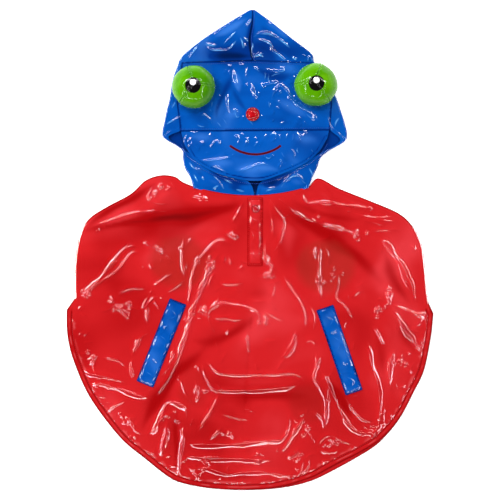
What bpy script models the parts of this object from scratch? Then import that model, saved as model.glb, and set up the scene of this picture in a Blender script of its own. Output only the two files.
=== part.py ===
# A child's hooded rain poncho in glossy vinyl, laid flat on its back with the hood towards +Y.
# The wearer's left and right are not used: "left" is -X and "right" is +X, seen from above.
import math

import bmesh
import bpy
from mathutils import Vector
from mathutils.bvhtree import BVHTree

# Sizes and places are in millimetres here and become metres when a mesh is made.
MM = 0.001
WALL = 1.0                # vinyl wall
SEAM = 0.3                # gap between pieces that are sewn together
LIE = 0.4                 # gap under a piece that lies on another
HEM_WIDTH = 8.0           # turned hem of the cape
HEM_RAISE = 0.5           # how far the turned hem stands over the single wall
CENTRE_X = 4.0            # centre seam of the hood
CAPE_CENTRE = (0.0, -120.0)

# Outline of the cape: each run goes from one corner to the next, clockwise seen from above.
NECK_HALF = 87.0
NECK_X = 1.5
NECK_FRONT_Y = 82.0       # lowest point of the front neckline
NECK_FRONT_DEEP = 13.5
NECK_BACK_Y = 84.0        # lowest point of the back neckline
NECK_BACK_DEEP = 11.5
SHOULDER_RIGHT = ((88.5, 95.5), (103, 107.5), (134, 92), (179, 74), (221, 56), (242, 38), (254, 18),
                  (260, -4), (265, -58), (268, -80))
HEM = ((275, -95), (271, -132), (261, -180), (245, -214), (226, -250), (205, -277), (180, -299),
       (122, -332), (86, -348), (44, -357), (-8, -360), (-62, -357), (-103, -349), (-124, -339),
       (-157, -313), (-190, -286), (-220, -250), (-244, -214), (-260, -178), (-270, -148),
       (-274.5, -120), (-275, -90))
SHOULDER_LEFT = ((-262.5, -72), (-263, -31), (-260, 2), (-253, 28), (-240, 48), (-214, 65),
                 (-179, 84), (-157, 104), (-134, 112), (-113, 110), (-101, 102), (-85.5, 95.5))
NECK_STEPS = 12
SHOULDER_STEPS = 18
HEM_STEPS = 40
CAPE_RINGS = (0.15, 0.29, 0.42, 0.54, 0.65, 0.75, 0.83, 0.89, 0.94)
BACK_RINGS = (0.35, 0.7, 0.94)

# Heights of the front panel's underside over the floor.
EDGE_LIFT = WALL + SEAM   # along shoulders and hem it lies on the back panel
NECK_LIFT = 2.1           # more at the neckline, where the hood's two layers part
DOME_LIFT = 0.9           # air under the middle of the cape
TOP_LIFT = 4.7            # no fold rises past this

# Folds of the front panel: route, half width, height (a trough is negative).
FOLDS = (
    {"route": ((-237, 36), (-164, 58), (-125, 60)), "half": 13, "rise": 2.6},
    {"route": ((-80, 50), (-160, 38)), "half": 11, "rise": -1.5},
    {"route": ((-242, -58), (-206, -22), (-176, 5), (-160, 14)), "half": 12, "rise": 2.4},
    {"route": ((-100, 19), (-100, -34), (-94, -95)), "half": 12, "rise": 1.9},
    {"route": ((-35, 14), (-77, -18), (-89, -77), (-100, -131), (-145, -222)), "half": 13, "rise": 2.3},
    {"route": ((-140, -54), (-194, -69)), "half": 12, "rise": 1.6},
    {"route": ((-44, -49), (-7, -50)), "half": 10, "rise": -1.2},
    {"route": ((41, 79), (91, 44), (149, 29)), "half": 13, "rise": 2.7},
    {"route": ((66, 42), (166, -26)), "half": 12, "rise": -1.4},
    {"route": ((25, 82), (47, 43), (34, -4)), "half": 11, "rise": 2.0},
    {"route": ((102, 10), (102, -53), (107, -82)), "half": 12, "rise": 1.9},
    {"route": ((211, -2), (242, -67)), "half": 13, "rise": 2.3},
    {"route": ((209, -82), (265, -92)), "half": 10, "rise": 1.8},
    {"route": ((-71, -167), (-49, -183), (0, -187), (70, -186)), "half": 12, "rise": 1.9},
    {"route": ((-100, -292), (0, -285), (53, -281)), "half": 12, "rise": 2.0},
    {"route": ((-133, -240), (-105, -231), (-88, -268), (-106, -305)), "half": 13, "rise": 2.3},
    {"route": ((-254, -173), (-217, -192), (-144, -223)), "half": 13, "rise": 2.2},
    {"route": ((104, -155), (97, -191), (113, -230), (112, -273)), "half": 12, "rise": 2.3},
    {"route": ((109, -185), (158, -270), (189, -278)), "half": 12, "rise": 2.0},
    {"route": ((218, -146), (208, -167), (211, -209)), "half": 12, "rise": 1.9},
)

# Strips sewn on the front panel, by the middle of their top and bottom edges.
PLACKET = {"top": (7.5, 79), "foot": (7.5, -24), "width": 23.0, "wall": 1.0, "slit": (6.0, 86, -14)}
WELTS = {
    "welt_left": {"top": (-107.5, -77), "foot": (-157.5, -201), "width": 27.0, "wall": 1.2},
    "welt_right": {"top": (112, -86), "foot": (156, -213.5), "width": 27.0, "wall": 1.2},
}
SLIT_WIDTH = 1.0
ARM_SLIT_MARGIN = 9.0     # the arm slit ends this far inside its welt
CALM_NEAR = 12.0          # folds die out between these distances from a strip
CALM_FAR = 34.0

# Hood halves, a row for each section from the neckline to the peak. Each section starts at the
# centre seam on the back layer, turns round at the outer edge and ends at the front edge.
# back_bow and front_bow say how far the middle of each layer leaves a straight line in Y.
FOLD_RADIUS = 1.7
SEAM_HALF = SEAM / 2
PEAK_Y = 362.0
CROWN_Y = 284.0           # seam between the crown and the brow
HOOD_LEFT_ROWS = (
    {"back": 84.3, "outer": (-84.5, 96.5), "front": (7.6, 82.4), "back_bow": -3.2, "front_bow": -3.2},
    {"back": 98, "outer": (-89.5, 109), "front": (-2, 102)},
    {"back": 113, "outer": (-97.5, 123), "front": (-41, 117)},
    {"back": 128, "outer": (-100.5, 137), "front": (-74, 134)},
    {"back": 143, "outer": (-103, 151), "front": (-97, 149)},
    {"back": 158, "outer": (-128, 167), "front": (-122, 168)},
    {"back": 172, "outer": (-131.5, 177), "front": (-104, 178.5)},
    {"back": 190, "outer": (-128.5, 191), "front": (-105, 192)},
    {"back": 206, "outer": (-125.5, 206), "front": (-107, 206)},
    {"back": 230, "outer": (-120, 229), "front": (-109, 229)},
    {"back": 256, "outer": (-116, 255), "front": (-105, 256)},
    {"back": 279, "outer": (-108, 278), "front": (-101.5, 280)},
    {"back": 284, "outer": (-106, 284), "front": (CENTRE_X - SEAM_HALF, CROWN_Y)},
    {"back": 296, "outer": (-97, 295), "front": (CENTRE_X - SEAM_HALF, 296)},
    {"back": 317, "outer": (-69, 317), "front": (CENTRE_X - SEAM_HALF, 317)},
    {"back": 340, "outer": (-32, 341), "front": (CENTRE_X - SEAM_HALF, 341)},
    {"back": PEAK_Y - 2, "outer": (-1.5, PEAK_Y - 3), "front": (CENTRE_X - SEAM_HALF, PEAK_Y - 2)},
)
HOOD_RIGHT_ROWS = (
    {"back": 84.3, "outer": (87.5, 96.5), "front": (8.4, 82.4), "back_bow": -3.2, "front_bow": -3.2},
    {"back": 98, "outer": (94, 110), "front": (15.5, 101)},
    {"back": 113, "outer": (100.5, 123), "front": (45, 112)},
    {"back": 128, "outer": (106, 138), "front": (80, 131)},
    {"back": 143, "outer": (119, 149), "front": (109, 147)},
    {"back": 157, "outer": (141, 162), "front": (135, 163.5)},
    {"back": 172, "outer": (145.5, 173), "front": (119, 180)},
    {"back": 190, "outer": (142, 190), "front": (120, 193)},
    {"back": 206, "outer": (137, 206), "front": (121, 207)},
    {"back": 230, "outer": (129, 229), "front": (121, 229)},
    {"back": 256, "outer": (115, 255), "front": (108, 256)},
    {"back": 279, "outer": (98.5, 278), "front": (92.5, 280)},
    {"back": 284, "outer": (95.5, 284), "front": (CENTRE_X + SEAM_HALF, CROWN_Y)},
    {"back": 296, "outer": (91.5, 295), "front": (CENTRE_X + SEAM_HALF, 296)},
    {"back": 317, "outer": (63, 317), "front": (CENTRE_X + SEAM_HALF, 317)},
    {"back": 340, "outer": (33, 341), "front": (CENTRE_X + SEAM_HALF, 341)},
    {"back": PEAK_Y - 2, "outer": (8.5, PEAK_Y - 3), "front": (CENTRE_X + SEAM_HALF, PEAK_Y - 2)},
)
BROW_FIRST_ROW = 6        # the brow lies between the halves from this row ...
BROW_LAST_ROW = 11        # ... up to this one
LAYER_STEPS = 6           # steps across each layer of a hood half
TURN_STEPS = 6            # steps round the fold at the outer edge

# Folds of the hood's upper layer.
HOOD_TOP = WALL / 2 + 2 * FOLD_RADIUS      # middle of the upper layer's wall
HOOD_FOLDS = (
    {"route": ((-35, 190), (-34, 255)), "half": 7, "rise": -0.6},
    {"route": ((-18, 186), (-8, 240), (-14, 270)), "half": 7, "rise": 0.9},
    {"route": ((46, 190), (62, 222)), "half": 8, "rise": 0.8},
    {"route": ((10, 262), (40, 272), (80, 268)), "half": 7, "rise": 1.0},
    {"route": ((-80, 292), (-30, 318), (-8, 342)), "half": 9, "rise": 0.9},
    {"route": ((22, 296), (30, 330)), "half": 8, "rise": 0.8},
    {"route": ((50, 296), (72, 300)), "half": 8, "rise": -0.5},
)

# Visor: it hangs from the brow's lower seam and lies over the front of the neck.
VISOR_TOP_LEFT = (-103.2, 178.0)
VISOR_TOP_RIGHT = (118.3, 179.6)
VISOR_EDGE = ((-100, 164), (-95, 152), (-79, 131), (-50, 115), (-22, 107), (4, 103.5), (30, 107),
              (80, 128), (103, 147), (115.5, 167))
VISOR_RAISE = 1.5         # over the neck part it lies this much higher than at its seam
VISOR_RISE_RUN = 22.0     # and it has risen so far within this distance of the seam
VISOR_COLUMNS = 22
VISOR_ROWS = 7
BROW_COLUMNS = 16

# Stuffed eyes: plain half balls with a slightly drawn-in foot.
EYES = {"eye_left": (-84.0, 243.0), "eye_right": (98.0, 246.0)}
EYE_RADIUS = 33.0
EYE_FOOT_RADIUS = 30.5
EYE_HEIGHT = 29.0
EYE_DRAW = math.asin(0.38)  # how far round below its widest ring an eye goes
EYE_SEGMENTS = 36
EYE_RINGS = 9

# Cap snaps: a domed cap with a rolled rim.
NOSE_SNAP = {"place": (4.0, 203.0), "radius": 10.5, "height": 4.0}
PLACKET_SNAP = {"place": (8.0, 62.0), "radius": 6.4, "height": 2.6}
SNAP_SEGMENTS = 28

# Colours, as linear values for the shader, with roughness.
COLOURS = {
    "red_vinyl": ((0.68, 0.009, 0.014, 1.0), 0.16),
    "blue_vinyl": ((0.006, 0.115, 0.62, 1.0), 0.16),
    "green_vinyl": ((0.105, 0.46, 0.008, 1.0), 0.2),
    "red_snap": ((0.62, 0.01, 0.012, 1.0), 0.25),
}


def smoothStep(value, low, high):
    share = min(max((value - low) / (high - low), 0.0), 1.0)
    return share * share * (3.0 - 2.0 * share)


def lerp(start, end, share):
    return start + (end - start) * share


def smoothRun(points, steps):
    # A smooth curve through the points of one run, at even steps along it.
    knots = [Vector(point) for point in points]
    knots = [2 * knots[0] - knots[1]] + knots + [2 * knots[-1] - knots[-2]]
    fine = []
    for index in range(1, len(knots) - 2):
        before, start, end, after = knots[index - 1:index + 3]
        for part in range(12):
            t = part / 12
            fine.append(0.5 * (2 * start + (end - before) * t
                               + (2 * before - 5 * start + 4 * end - after) * t ** 2
                               + (3 * start - before - 3 * end + after) * t ** 3))
    fine.append(knots[-2].copy())
    lengths = [0.0]
    for start, end in zip(fine, fine[1:]):
        lengths.append(lengths[-1] + (end - start).length)
    run = []
    place = 0
    for step in range(steps + 1):
        wanted = lengths[-1] * step / steps
        while place < len(fine) - 2 and lengths[place + 1] < wanted:
            place += 1
        share = (wanted - lengths[place]) / (lengths[place + 1] - lengths[place])
        run.append(fine[place].lerp(fine[place + 1], share))
    return run


def routeDistance(x, y, route):
    # Distance from a point to a route, in plan.
    nearest = 1e9
    for start, end in zip(route, route[1:]):
        runX = end[0] - start[0]
        runY = end[1] - start[1]
        along = ((x - start[0]) * runX + (y - start[1]) * runY) / (runX * runX + runY * runY)
        along = min(max(along, 0.0), 1.0)
        gap = math.hypot(x - start[0] - along * runX, y - start[1] - along * runY)
        nearest = min(nearest, gap)
    return nearest


def foldHeight(x, y, folds):
    return sum(fold["rise"] * math.exp(-(routeDistance(x, y, fold["route"]) / fold["half"]) ** 2)
               for fold in folds)


def neckFrontY(x):
    return NECK_FRONT_Y + NECK_FRONT_DEEP * ((x - NECK_X) / NECK_HALF) ** 2


def neckBackY(x):
    return NECK_BACK_Y + NECK_BACK_DEEP * ((x - NECK_X) / NECK_HALF) ** 2


def capeOutline(neckY):
    # The cape's edge as a closed loop of points, clockwise from the left end of the neckline.
    neck = []
    for step in range(1, NECK_STEPS):
        x = NECK_X - NECK_HALF + 2 * NECK_HALF * step / NECK_STEPS
        neck.append(Vector((x, neckY(x))))
    return (neck + smoothRun(SHOULDER_RIGHT, SHOULDER_STEPS) + smoothRun(HEM, HEM_STEPS)
            + smoothRun(SHOULDER_LEFT, SHOULDER_STEPS))


def calm(x, y):
    # 1 away from the sewn-on strips and 0 close to them, so that they lie smooth.
    share = 1.0
    for strip in (PLACKET, *WELTS.values()):
        gap = routeDistance(x, y, (strip["top"], strip["foot"])) - strip["width"] / 2
        share *= smoothStep(gap, CALM_NEAR, CALM_FAR)
    return share


def frontUnderside(x, y, share):
    # Height of the front panel's underside; share runs from 0 at the middle to 1 at the edge.
    neck = smoothStep(NECK_HALF - abs(x - NECK_X), 0, 26) * smoothStep(y, -10, 80)
    dome = DOME_LIFT * (1 - share ** 3) * (1 - neck)
    inside = smoothStep(1 - share, 0, 0.07)
    folds = foldHeight(x, y, FOLDS) * calm(x, y) * inside * (1 - neck)
    return min(max(EDGE_LIFT + NECK_LIFT * neck + dome + folds, EDGE_LIFT), TOP_LIFT)


def makeMesh(name, points, faces, slot, smooth=False):
    # One closed object from points in millimetres, with its own material.
    mesh = bpy.data.meshes.new(name)
    work = bmesh.new()
    corners = [work.verts.new(Vector(point) * MM) for point in points]
    for face in faces:
        work.faces.new([corners[index] for index in face])
    bmesh.ops.triangulate(work, faces=work.faces[:])
    bmesh.ops.recalc_face_normals(work, faces=work.faces[:])
    work.to_mesh(mesh)
    work.free()
    if smooth:
        mesh.shade_smooth()
        mesh.set_sharp_from_angle(angle=math.radians(40))
    colour, roughness = COLOURS[slot]
    material = bpy.data.materials.new(f"{name}_{slot}")
    material.use_nodes = True
    shader = material.node_tree.nodes["Principled BSDF"]
    shader.inputs["Base Color"].default_value = colour
    shader.inputs["Roughness"].default_value = roughness
    shader.inputs["Metallic"].default_value = 0.0
    mesh.materials.append(material)
    made = bpy.data.objects.new(name, mesh)
    bpy.context.scene.collection.objects.link(made)
    return made


def wallFaces(rows, columns):
    # Faces of a closed wall between two grids of points, the second stored after the first.
    second = rows * columns
    faces = []
    for row in range(rows - 1):
        for column in range(columns - 1):
            corner = row * columns + column
            quad = (corner, corner + 1, corner + columns + 1, corner + columns)
            faces.append(quad)
            faces.append(tuple(second + index for index in reversed(quad)))
    border = [column for column in range(columns)]
    border += [row * columns + columns - 1 for row in range(1, rows)]
    border += [(rows - 1) * columns + column for column in range(columns - 2, -1, -1)]
    border += [row * columns for row in range(rows - 2, 0, -1)]
    for start, end in zip(border, border[1:] + border[:1]):
        faces.append((start, end, second + end, second + start))
    return faces


def makeWall(name, outer, inner, slot):
    # A wall whose two sides are equal grids of points.
    points = [point for row in outer for point in row] + [point for row in inner for point in row]
    return makeMesh(name, points, wallFaces(len(outer), len(outer[0])), slot, smooth=True)


def makeRingPanel(name, outline, shares, hemWidths, underside, thickness, slot):
    # A panel made of rings round the cape's centre, closed along its edge.
    centre = Vector(CAPE_CENTRE)
    rings = []
    for share in shares:
        rings.append([(centre.lerp(point, share), share) for point in outline])
    for width in hemWidths:
        ring = []
        for point in outline:
            reach = (point - centre).length
            share = 1 - width / reach
            ring.append((centre.lerp(point, share), share))
        rings.append(ring)
    rings.append([(point, 1.0) for point in outline])
    count = len(outline)
    points = []
    for top in (False, True):
        low = underside(centre.x, centre.y, 0.0)
        points.append((centre.x, centre.y, low + (WALL if top else 0.0)))
        for ring in rings:
            for point, share in ring:
                low = underside(point.x, point.y, share)
                rise = thickness(point, share) if top else 0.0
                points.append((point.x, point.y, low + rise))
    layer = 1 + count * len(rings)
    faces = []
    for column in range(count):
        after = (column + 1) % count
        faces.append((0, 1 + column, 1 + after))
        faces.append((layer, layer + 1 + after, layer + 1 + column))
        for ring in range(len(rings) - 1):
            inner = 1 + ring * count
            outer = inner + count
            quad = (inner + column, outer + column, outer + after, inner + after)
            faces.append(quad)
            faces.append(tuple(layer + index for index in reversed(quad)))
        last = 1 + (len(rings) - 1) * count
        faces.append((last + column, layer + last + column, layer + last + after, last + after))
    return makeMesh(name, points, faces, slot, smooth=True)


def cutSlit(panel, name, start, end):
    # Cuts a straight slit through a panel between two points in plan.
    run = Vector(end) - Vector(start)
    middle = (Vector(start) + Vector(end)) / 2
    bpy.ops.mesh.primitive_cube_add(size=1, location=(middle.x * MM, middle.y * MM, 4 * MM),
                                    rotation=(0, 0, math.atan2(run.y, run.x)))
    cutter = bpy.context.object
    cutter.name = name
    cutter.scale = (run.length * MM, SLIT_WIDTH * MM, 20 * MM)
    cutter.hide_render = True
    cutter.display_type = "WIRE"
    cut = panel.modifiers.new(name, "BOOLEAN")
    cut.operation = "DIFFERENCE"
    cut.object = cutter


def makeBack():
    return makeRingPanel("back_panel", capeOutline(neckBackY), BACK_RINGS, (),
                         lambda x, y, share: 0.0, lambda point, share: WALL, "red_vinyl")


def frontOutline():
    # The front lies just inside the back, and further inside along the hem's right half.
    centre = Vector(CAPE_CENTRE)
    outline = []
    for point in capeOutline(neckFrontY):
        low = smoothStep(-point.y, 230, 300)
        inset = 0.8 + 5.5 * low * math.exp(-((point.x - 125) / 75) ** 2)
        if point.y > 80 and abs(point.x - NECK_X) < NECK_HALF:
            inset = 0.0
        outline.append(point + (centre - point).normalized() * inset)
    return outline


def hemThickness(point, share):
    below = point.y < -85
    hem = below and (Vector(CAPE_CENTRE) - point).length * (1 / share - 1) < HEM_WIDTH - 0.5
    return WALL + (HEM_RAISE if hem else 0.0)


def makeFront():
    panel = makeRingPanel("front_panel", frontOutline(), CAPE_RINGS, (HEM_WIDTH, HEM_WIDTH - 1),
                          frontUnderside, hemThickness, "red_vinyl")
    surface = BVHTree.FromPolygons([vertex.co.copy() for vertex in panel.data.vertices],
                                   [tuple(face.vertices) for face in panel.data.polygons])
    x, top, foot = PLACKET["slit"]
    cutSlit(panel, "cut_neck_slit", (x, top), (x, foot))
    for name, welt in WELTS.items():
        start = Vector(welt["top"])
        end = Vector(welt["foot"])
        margin = (end - start).normalized() * ARM_SLIT_MARGIN
        cutSlit(panel, f"cut_{name}", start + margin, end - margin)
    return surface


def makeStrip(name, strip, surface, slot):
    # A strip that follows the panel's upper side, moved out from it.
    top = Vector(strip["top"])
    foot = Vector(strip["foot"])
    across = (foot - top).orthogonal().normalized()
    outer = []
    inner = []
    for row in range(13):
        line = top.lerp(foot, row / 12)
        outerRow = []
        innerRow = []
        for column in range(5):
            place = line + across * strip["width"] * (column / 4 - 0.5)
            hit = surface.ray_cast(Vector((place.x * MM, place.y * MM, 1)), Vector((0, 0, -1)))[0]
            low = hit.z / MM + LIE
            innerRow.append((place.x, place.y, low))
            outerRow.append((place.x, place.y, low + strip["wall"]))
        outer.append(outerRow)
        inner.append(innerRow)
    return makeWall(name, outer, inner, slot)


def hoodSection(row, folds):
    # Points of one section of a hood half, on the outer and on the inner side of the wall.
    side = -1 if row["outer"][0] < CENTRE_X else 1
    seam = Vector((CENTRE_X + side * SEAM_HALF, row["back"]))
    turn = Vector(row["outer"]) - Vector((side * (FOLD_RADIUS + WALL / 2), 0))
    front = Vector(row["front"])
    outer = []
    inner = []
    for step in range(LAYER_STEPS):
        share = step / LAYER_STEPS
        place = seam.lerp(turn, share)
        y = place.y + row.get("back_bow", 0) * 4 * share * (1 - share)
        outer.append((place.x, y, 0.0))
        inner.append((place.x, y, WALL))
    for step in range(TURN_STEPS + 1):
        angle = math.pi * step / TURN_STEPS - math.pi / 2
        middle = WALL / 2 + FOLD_RADIUS
        for points, radius in ((outer, FOLD_RADIUS + WALL / 2), (inner, FOLD_RADIUS - WALL / 2)):
            points.append((turn.x + side * radius * math.cos(angle), turn.y,
                           middle + radius * math.sin(angle)))
    for step in range(1, LAYER_STEPS + 1):
        share = step / LAYER_STEPS
        place = turn.lerp(front, share)
        y = place.y + row.get("front_bow", 0) * 4 * share * (1 - share)
        middle = HOOD_TOP + foldHeight(place.x, y, folds)
        outer.append((place.x, y, middle + WALL / 2))
        inner.append((place.x, y, middle - WALL / 2))
    return outer, inner


def makeHoodHalf(name, rows):
    sections = [hoodSection(row, HOOD_FOLDS) for row in rows]
    return makeWall(name, [section[0] for section in sections],
                    [section[1] for section in sections], "blue_vinyl")


def upperWall(name, grid, middle):
    # A single-layer piece of the hood's upper side from a grid of places in plan.
    outer = [[(x, y, middle(x, y) + WALL / 2) for x, y in row] for row in grid]
    inner = [[(x, y, middle(x, y) - WALL / 2) for x, y in row] for row in grid]
    return makeWall(name, outer, inner, "blue_vinyl")


def underEye(x, y):
    # 0 where an eye sits, 1 away from both.
    share = 1.0
    for place in EYES.values():
        gap = math.hypot(x - place[0], y - place[1]) - EYE_FOOT_RADIUS
        share *= smoothStep(gap, 4, 18)
    return share


def browMiddle(x, y):
    return HOOD_TOP + foldHeight(x, y, HOOD_FOLDS) * underEye(x, y)


def makeBrow():
    grid = []
    last = BROW_LAST_ROW - BROW_FIRST_ROW
    for step in range(last + 1):
        left = HOOD_LEFT_ROWS[BROW_FIRST_ROW + step]["front"]
        right = HOOD_RIGHT_ROWS[BROW_FIRST_ROW + step]["front"]
        row = []
        for column in range(BROW_COLUMNS + 1):
            share = column / BROW_COLUMNS
            x = lerp(left[0] + SEAM, right[0] - SEAM, share)
            y = lerp(left[1], right[1], share)
            if step == last:
                # The crown seam rises to the hood's centre seam.
                edge = left if x < CENTRE_X else right
                y = lerp(edge[1], CROWN_Y, (x - edge[0]) / (CENTRE_X - edge[0])) - 1.2 * SEAM
            row.append((x, y))
        grid.append(row)
    return upperWall("brow", grid, browMiddle)


def visorMiddle(x, y):
    drop = smoothStep(VISOR_TOP_LEFT[1] - y, 0, VISOR_RISE_RUN)
    return HOOD_TOP + VISOR_RAISE * drop


def makeVisor():
    edge = smoothRun(VISOR_EDGE, VISOR_COLUMNS)
    grid = []
    for step in range(VISOR_ROWS + 1):
        share = step / VISOR_ROWS
        row = []
        for column, low in enumerate(edge):
            across = column / VISOR_COLUMNS
            x = lerp(VISOR_TOP_LEFT[0], VISOR_TOP_RIGHT[0], across)
            y = lerp(VISOR_TOP_LEFT[1], VISOR_TOP_RIGHT[1], across)
            row.append((lerp(x, low.x, share), lerp(y, low.y, share)))
        grid.append(row)
    return upperWall("visor", grid, visorMiddle)


def makeTurned(name, place, base, profile, segments, slot):
    # A solid of revolution from a profile of (radius, height) points, foot first, top last.
    points = [(place[0], place[1], base + profile[0][1])]
    for radius, height in profile[:-1]:
        for segment in range(segments):
            angle = 2 * math.pi * segment / segments
            points.append((place[0] + radius * math.cos(angle), place[1] + radius * math.sin(angle),
                           base + height))
    points.append((place[0], place[1], base + profile[-1][1]))
    faces = []
    for segment in range(segments):
        after = (segment + 1) % segments
        faces.append((0, 1 + after, 1 + segment))
        for ring in range(len(profile) - 2):
            low = 1 + ring * segments
            high = low + segments
            faces.append((low + segment, low + after, high + after, high + segment))
        last = 1 + (len(profile) - 2) * segments
        faces.append((last + segment, last + after, len(points) - 1))
    return makeMesh(name, points, faces, slot, smooth=True)


def makeEye(name, place):
    profile = []
    for ring in range(EYE_RINGS + 1):
        angle = lerp(-EYE_DRAW, math.pi / 2, ring / EYE_RINGS)
        height = EYE_HEIGHT * (math.sin(angle) + math.sin(EYE_DRAW)) / (1 + math.sin(EYE_DRAW))
        profile.append((max(EYE_RADIUS * math.cos(angle), 0.0), height))
    base = HOOD_TOP + WALL / 2 + SEAM
    return makeTurned(name, place, base, profile, EYE_SEGMENTS, "green_vinyl")


def makeSnap(name, snap, base):
    radius = snap["radius"]
    height = snap["height"]
    profile = ((0.86 * radius, 0), (radius, 0.14 * height), (radius, 0.42 * height),
               (0.93 * radius, 0.6 * height), (0.8 * radius, 0.62 * height),
               (0.72 * radius, 0.55 * height), (0.6 * radius, 0.78 * height),
               (0.32 * radius, 0.95 * height), (0, height))
    return makeTurned(name, snap["place"], base, profile, SNAP_SEGMENTS, "red_snap")


def upperSide(piece, place):
    # Height of a piece's upper side at a place, in millimetres.
    tree = BVHTree.FromPolygons([vertex.co.copy() for vertex in piece.data.vertices],
                                [tuple(face.vertices) for face in piece.data.polygons])
    hit = tree.ray_cast(Vector((place[0] * MM, place[1] * MM, 1)), Vector((0, 0, -1)))[0]
    return hit.z / MM


def main():
    for old in list(bpy.data.objects):
        bpy.data.objects.remove(old, do_unlink=True)
    makeBack()
    surface = makeFront()
    placket = makeStrip("placket", PLACKET, surface, "red_vinyl")
    for name, welt in WELTS.items():
        makeStrip(name, welt, surface, "blue_vinyl")
    makeSnap("placket_snap", PLACKET_SNAP, upperSide(placket, PLACKET_SNAP["place"]) + SEAM)
    makeHoodHalf("hood_left", HOOD_LEFT_ROWS)
    makeHoodHalf("hood_right", HOOD_RIGHT_ROWS)
    brow = makeBrow()
    makeVisor()
    for name, place in EYES.items():
        makeEye(name, place)
    makeSnap("nose_snap", NOSE_SNAP, upperSide(brow, NOSE_SNAP["place"]) + SEAM)


main()
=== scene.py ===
import math
import random

import bmesh
import bpy
import numpy as np
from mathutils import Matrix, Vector, geometry


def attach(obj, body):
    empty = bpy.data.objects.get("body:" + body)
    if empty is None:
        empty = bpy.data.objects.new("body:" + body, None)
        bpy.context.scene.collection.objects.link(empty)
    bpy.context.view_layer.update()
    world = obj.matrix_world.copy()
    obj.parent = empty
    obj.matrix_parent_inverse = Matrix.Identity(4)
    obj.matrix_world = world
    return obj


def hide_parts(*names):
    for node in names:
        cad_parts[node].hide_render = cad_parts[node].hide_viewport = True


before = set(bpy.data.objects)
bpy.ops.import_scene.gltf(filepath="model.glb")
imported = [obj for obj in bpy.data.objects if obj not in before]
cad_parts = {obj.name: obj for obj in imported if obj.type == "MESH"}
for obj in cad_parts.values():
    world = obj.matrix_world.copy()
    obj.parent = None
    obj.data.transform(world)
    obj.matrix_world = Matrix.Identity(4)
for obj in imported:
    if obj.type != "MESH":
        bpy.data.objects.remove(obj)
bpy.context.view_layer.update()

# A child's rain poncho in glossy vinyl, laid flat. Places are in millimetres from the middle of
# the garment: x to the right, y up towards the hood, z off the table.
mm = 0.001
filmThick = 0.6        # the film as drawn; the real one is about 0.3
seamGap = 0.3          # between pieces that are sewn together
layerGap = 0.15        # air between the back and what lies on it
stripGap = 0.12        # air under a strip that is sewn on


def smoothStep(value, low, high):
    share = np.clip((value - low) / (high - low), 0.0, 1.0)
    return share * share * (3.0 - 2.0 * share)


def bell(value, middle, width):
    # 1 at the middle, fading over about the width on both sides.
    return np.exp(-((value - middle) / width) ** 2)


def lerp(start, end, share):
    return start + (end - start) * share


def unit(vectors):
    # One vector, or rows of them, at a length of 1.
    return vectors / np.maximum(np.hypot(*vectors.T), 1e-6)[..., None]


def withEnds(points):
    # Points with one more beyond each end, for a soft curve through all of them.
    return np.vstack([2 * points[0] - points[1], points, 2 * points[-1] - points[-2]])


def softCurve(before, start, end, after, t):
    # Between start and end, on a soft curve through four points.
    return 0.5 * (2 * start + (end - before) * t + (2 * before - 5 * start + 4 * end - after) * t ** 2
                  + (3 * start - before - 3 * end + after) * t ** 3)


def smoothPath(points, step):
    # A soft curve through a few points, with even spacing of about one step.
    knots = np.array(points, float)
    if len(knots) == 2:
        fine = np.linspace(knots[0], knots[1], 24)
    else:
        knots = withEnds(knots)
        t = np.linspace(0, 1, 16, endpoint=False)[:, None]
        fine = np.vstack([softCurve(*four, t) for four in zip(knots, knots[1:], knots[2:], knots[3:])]
                         + [knots[-2:-1]])
    lengths = np.concatenate([[0], np.cumsum(np.hypot(*np.diff(fine, axis=0).T))])
    count = max(int(round(lengths[-1] / step)), 2)
    wanted = np.linspace(0, lengths[-1], count + 1)
    return np.column_stack([np.interp(wanted, lengths, fine[:, 0]),
                            np.interp(wanted, lengths, fine[:, 1])])


def offsetPath(path, distance):
    # A path moved sideways; positive is to the left of its direction.
    ahead = unit(np.gradient(path, axis=0))
    return path + np.column_stack([-ahead[:, 1], ahead[:, 0]]) * distance


def joinRuns(*runs):
    # One closed outline from runs that share their end points.
    return np.vstack([run[:-1] for run in runs])


def lumps(x, y, size, seed):
    # Soft noise of about -1 to 1, with lumps of the given size.
    rng = np.random.RandomState(seed)
    order = rng.permutation(256)
    turns = rng.uniform(0, 2 * math.pi, 256)
    u = x / size + 57.3
    v = y / size + 31.7
    cellU = np.floor(u).astype(int)
    cellV = np.floor(v).astype(int)
    u = u - cellU
    v = v - cellV
    easeU = u * u * u * (u * (u * 6 - 15) + 10)
    easeV = v * v * v * (v * (v * 6 - 15) + 10)

    def corner(stepU, stepV):
        turn = turns[order[(order[(cellU + stepU) & 255] + cellV + stepV) & 255]]
        return np.cos(turn) * (u - stepU) + np.sin(turn) * (v - stepV)

    low = lerp(corner(0, 0), corner(1, 0), easeU)
    high = lerp(corner(0, 1), corner(1, 1), easeU)
    return 1.5 * lerp(low, high, easeV)


def ridges(x, y, size, seed):
    # Thin winding crests of 0 to 1, as in film that has been crumpled.
    bentX = x + 0.35 * size * lumps(x, y, size * 0.8, seed + 1)
    bentY = y + 0.35 * size * lumps(x, y, size * 0.8, seed + 2)
    return np.clip(1 - np.sqrt(lumps(bentX, bentY, size, seed) ** 2 + 0.0016) * 2.4, 0, 1) ** 1.5


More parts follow.
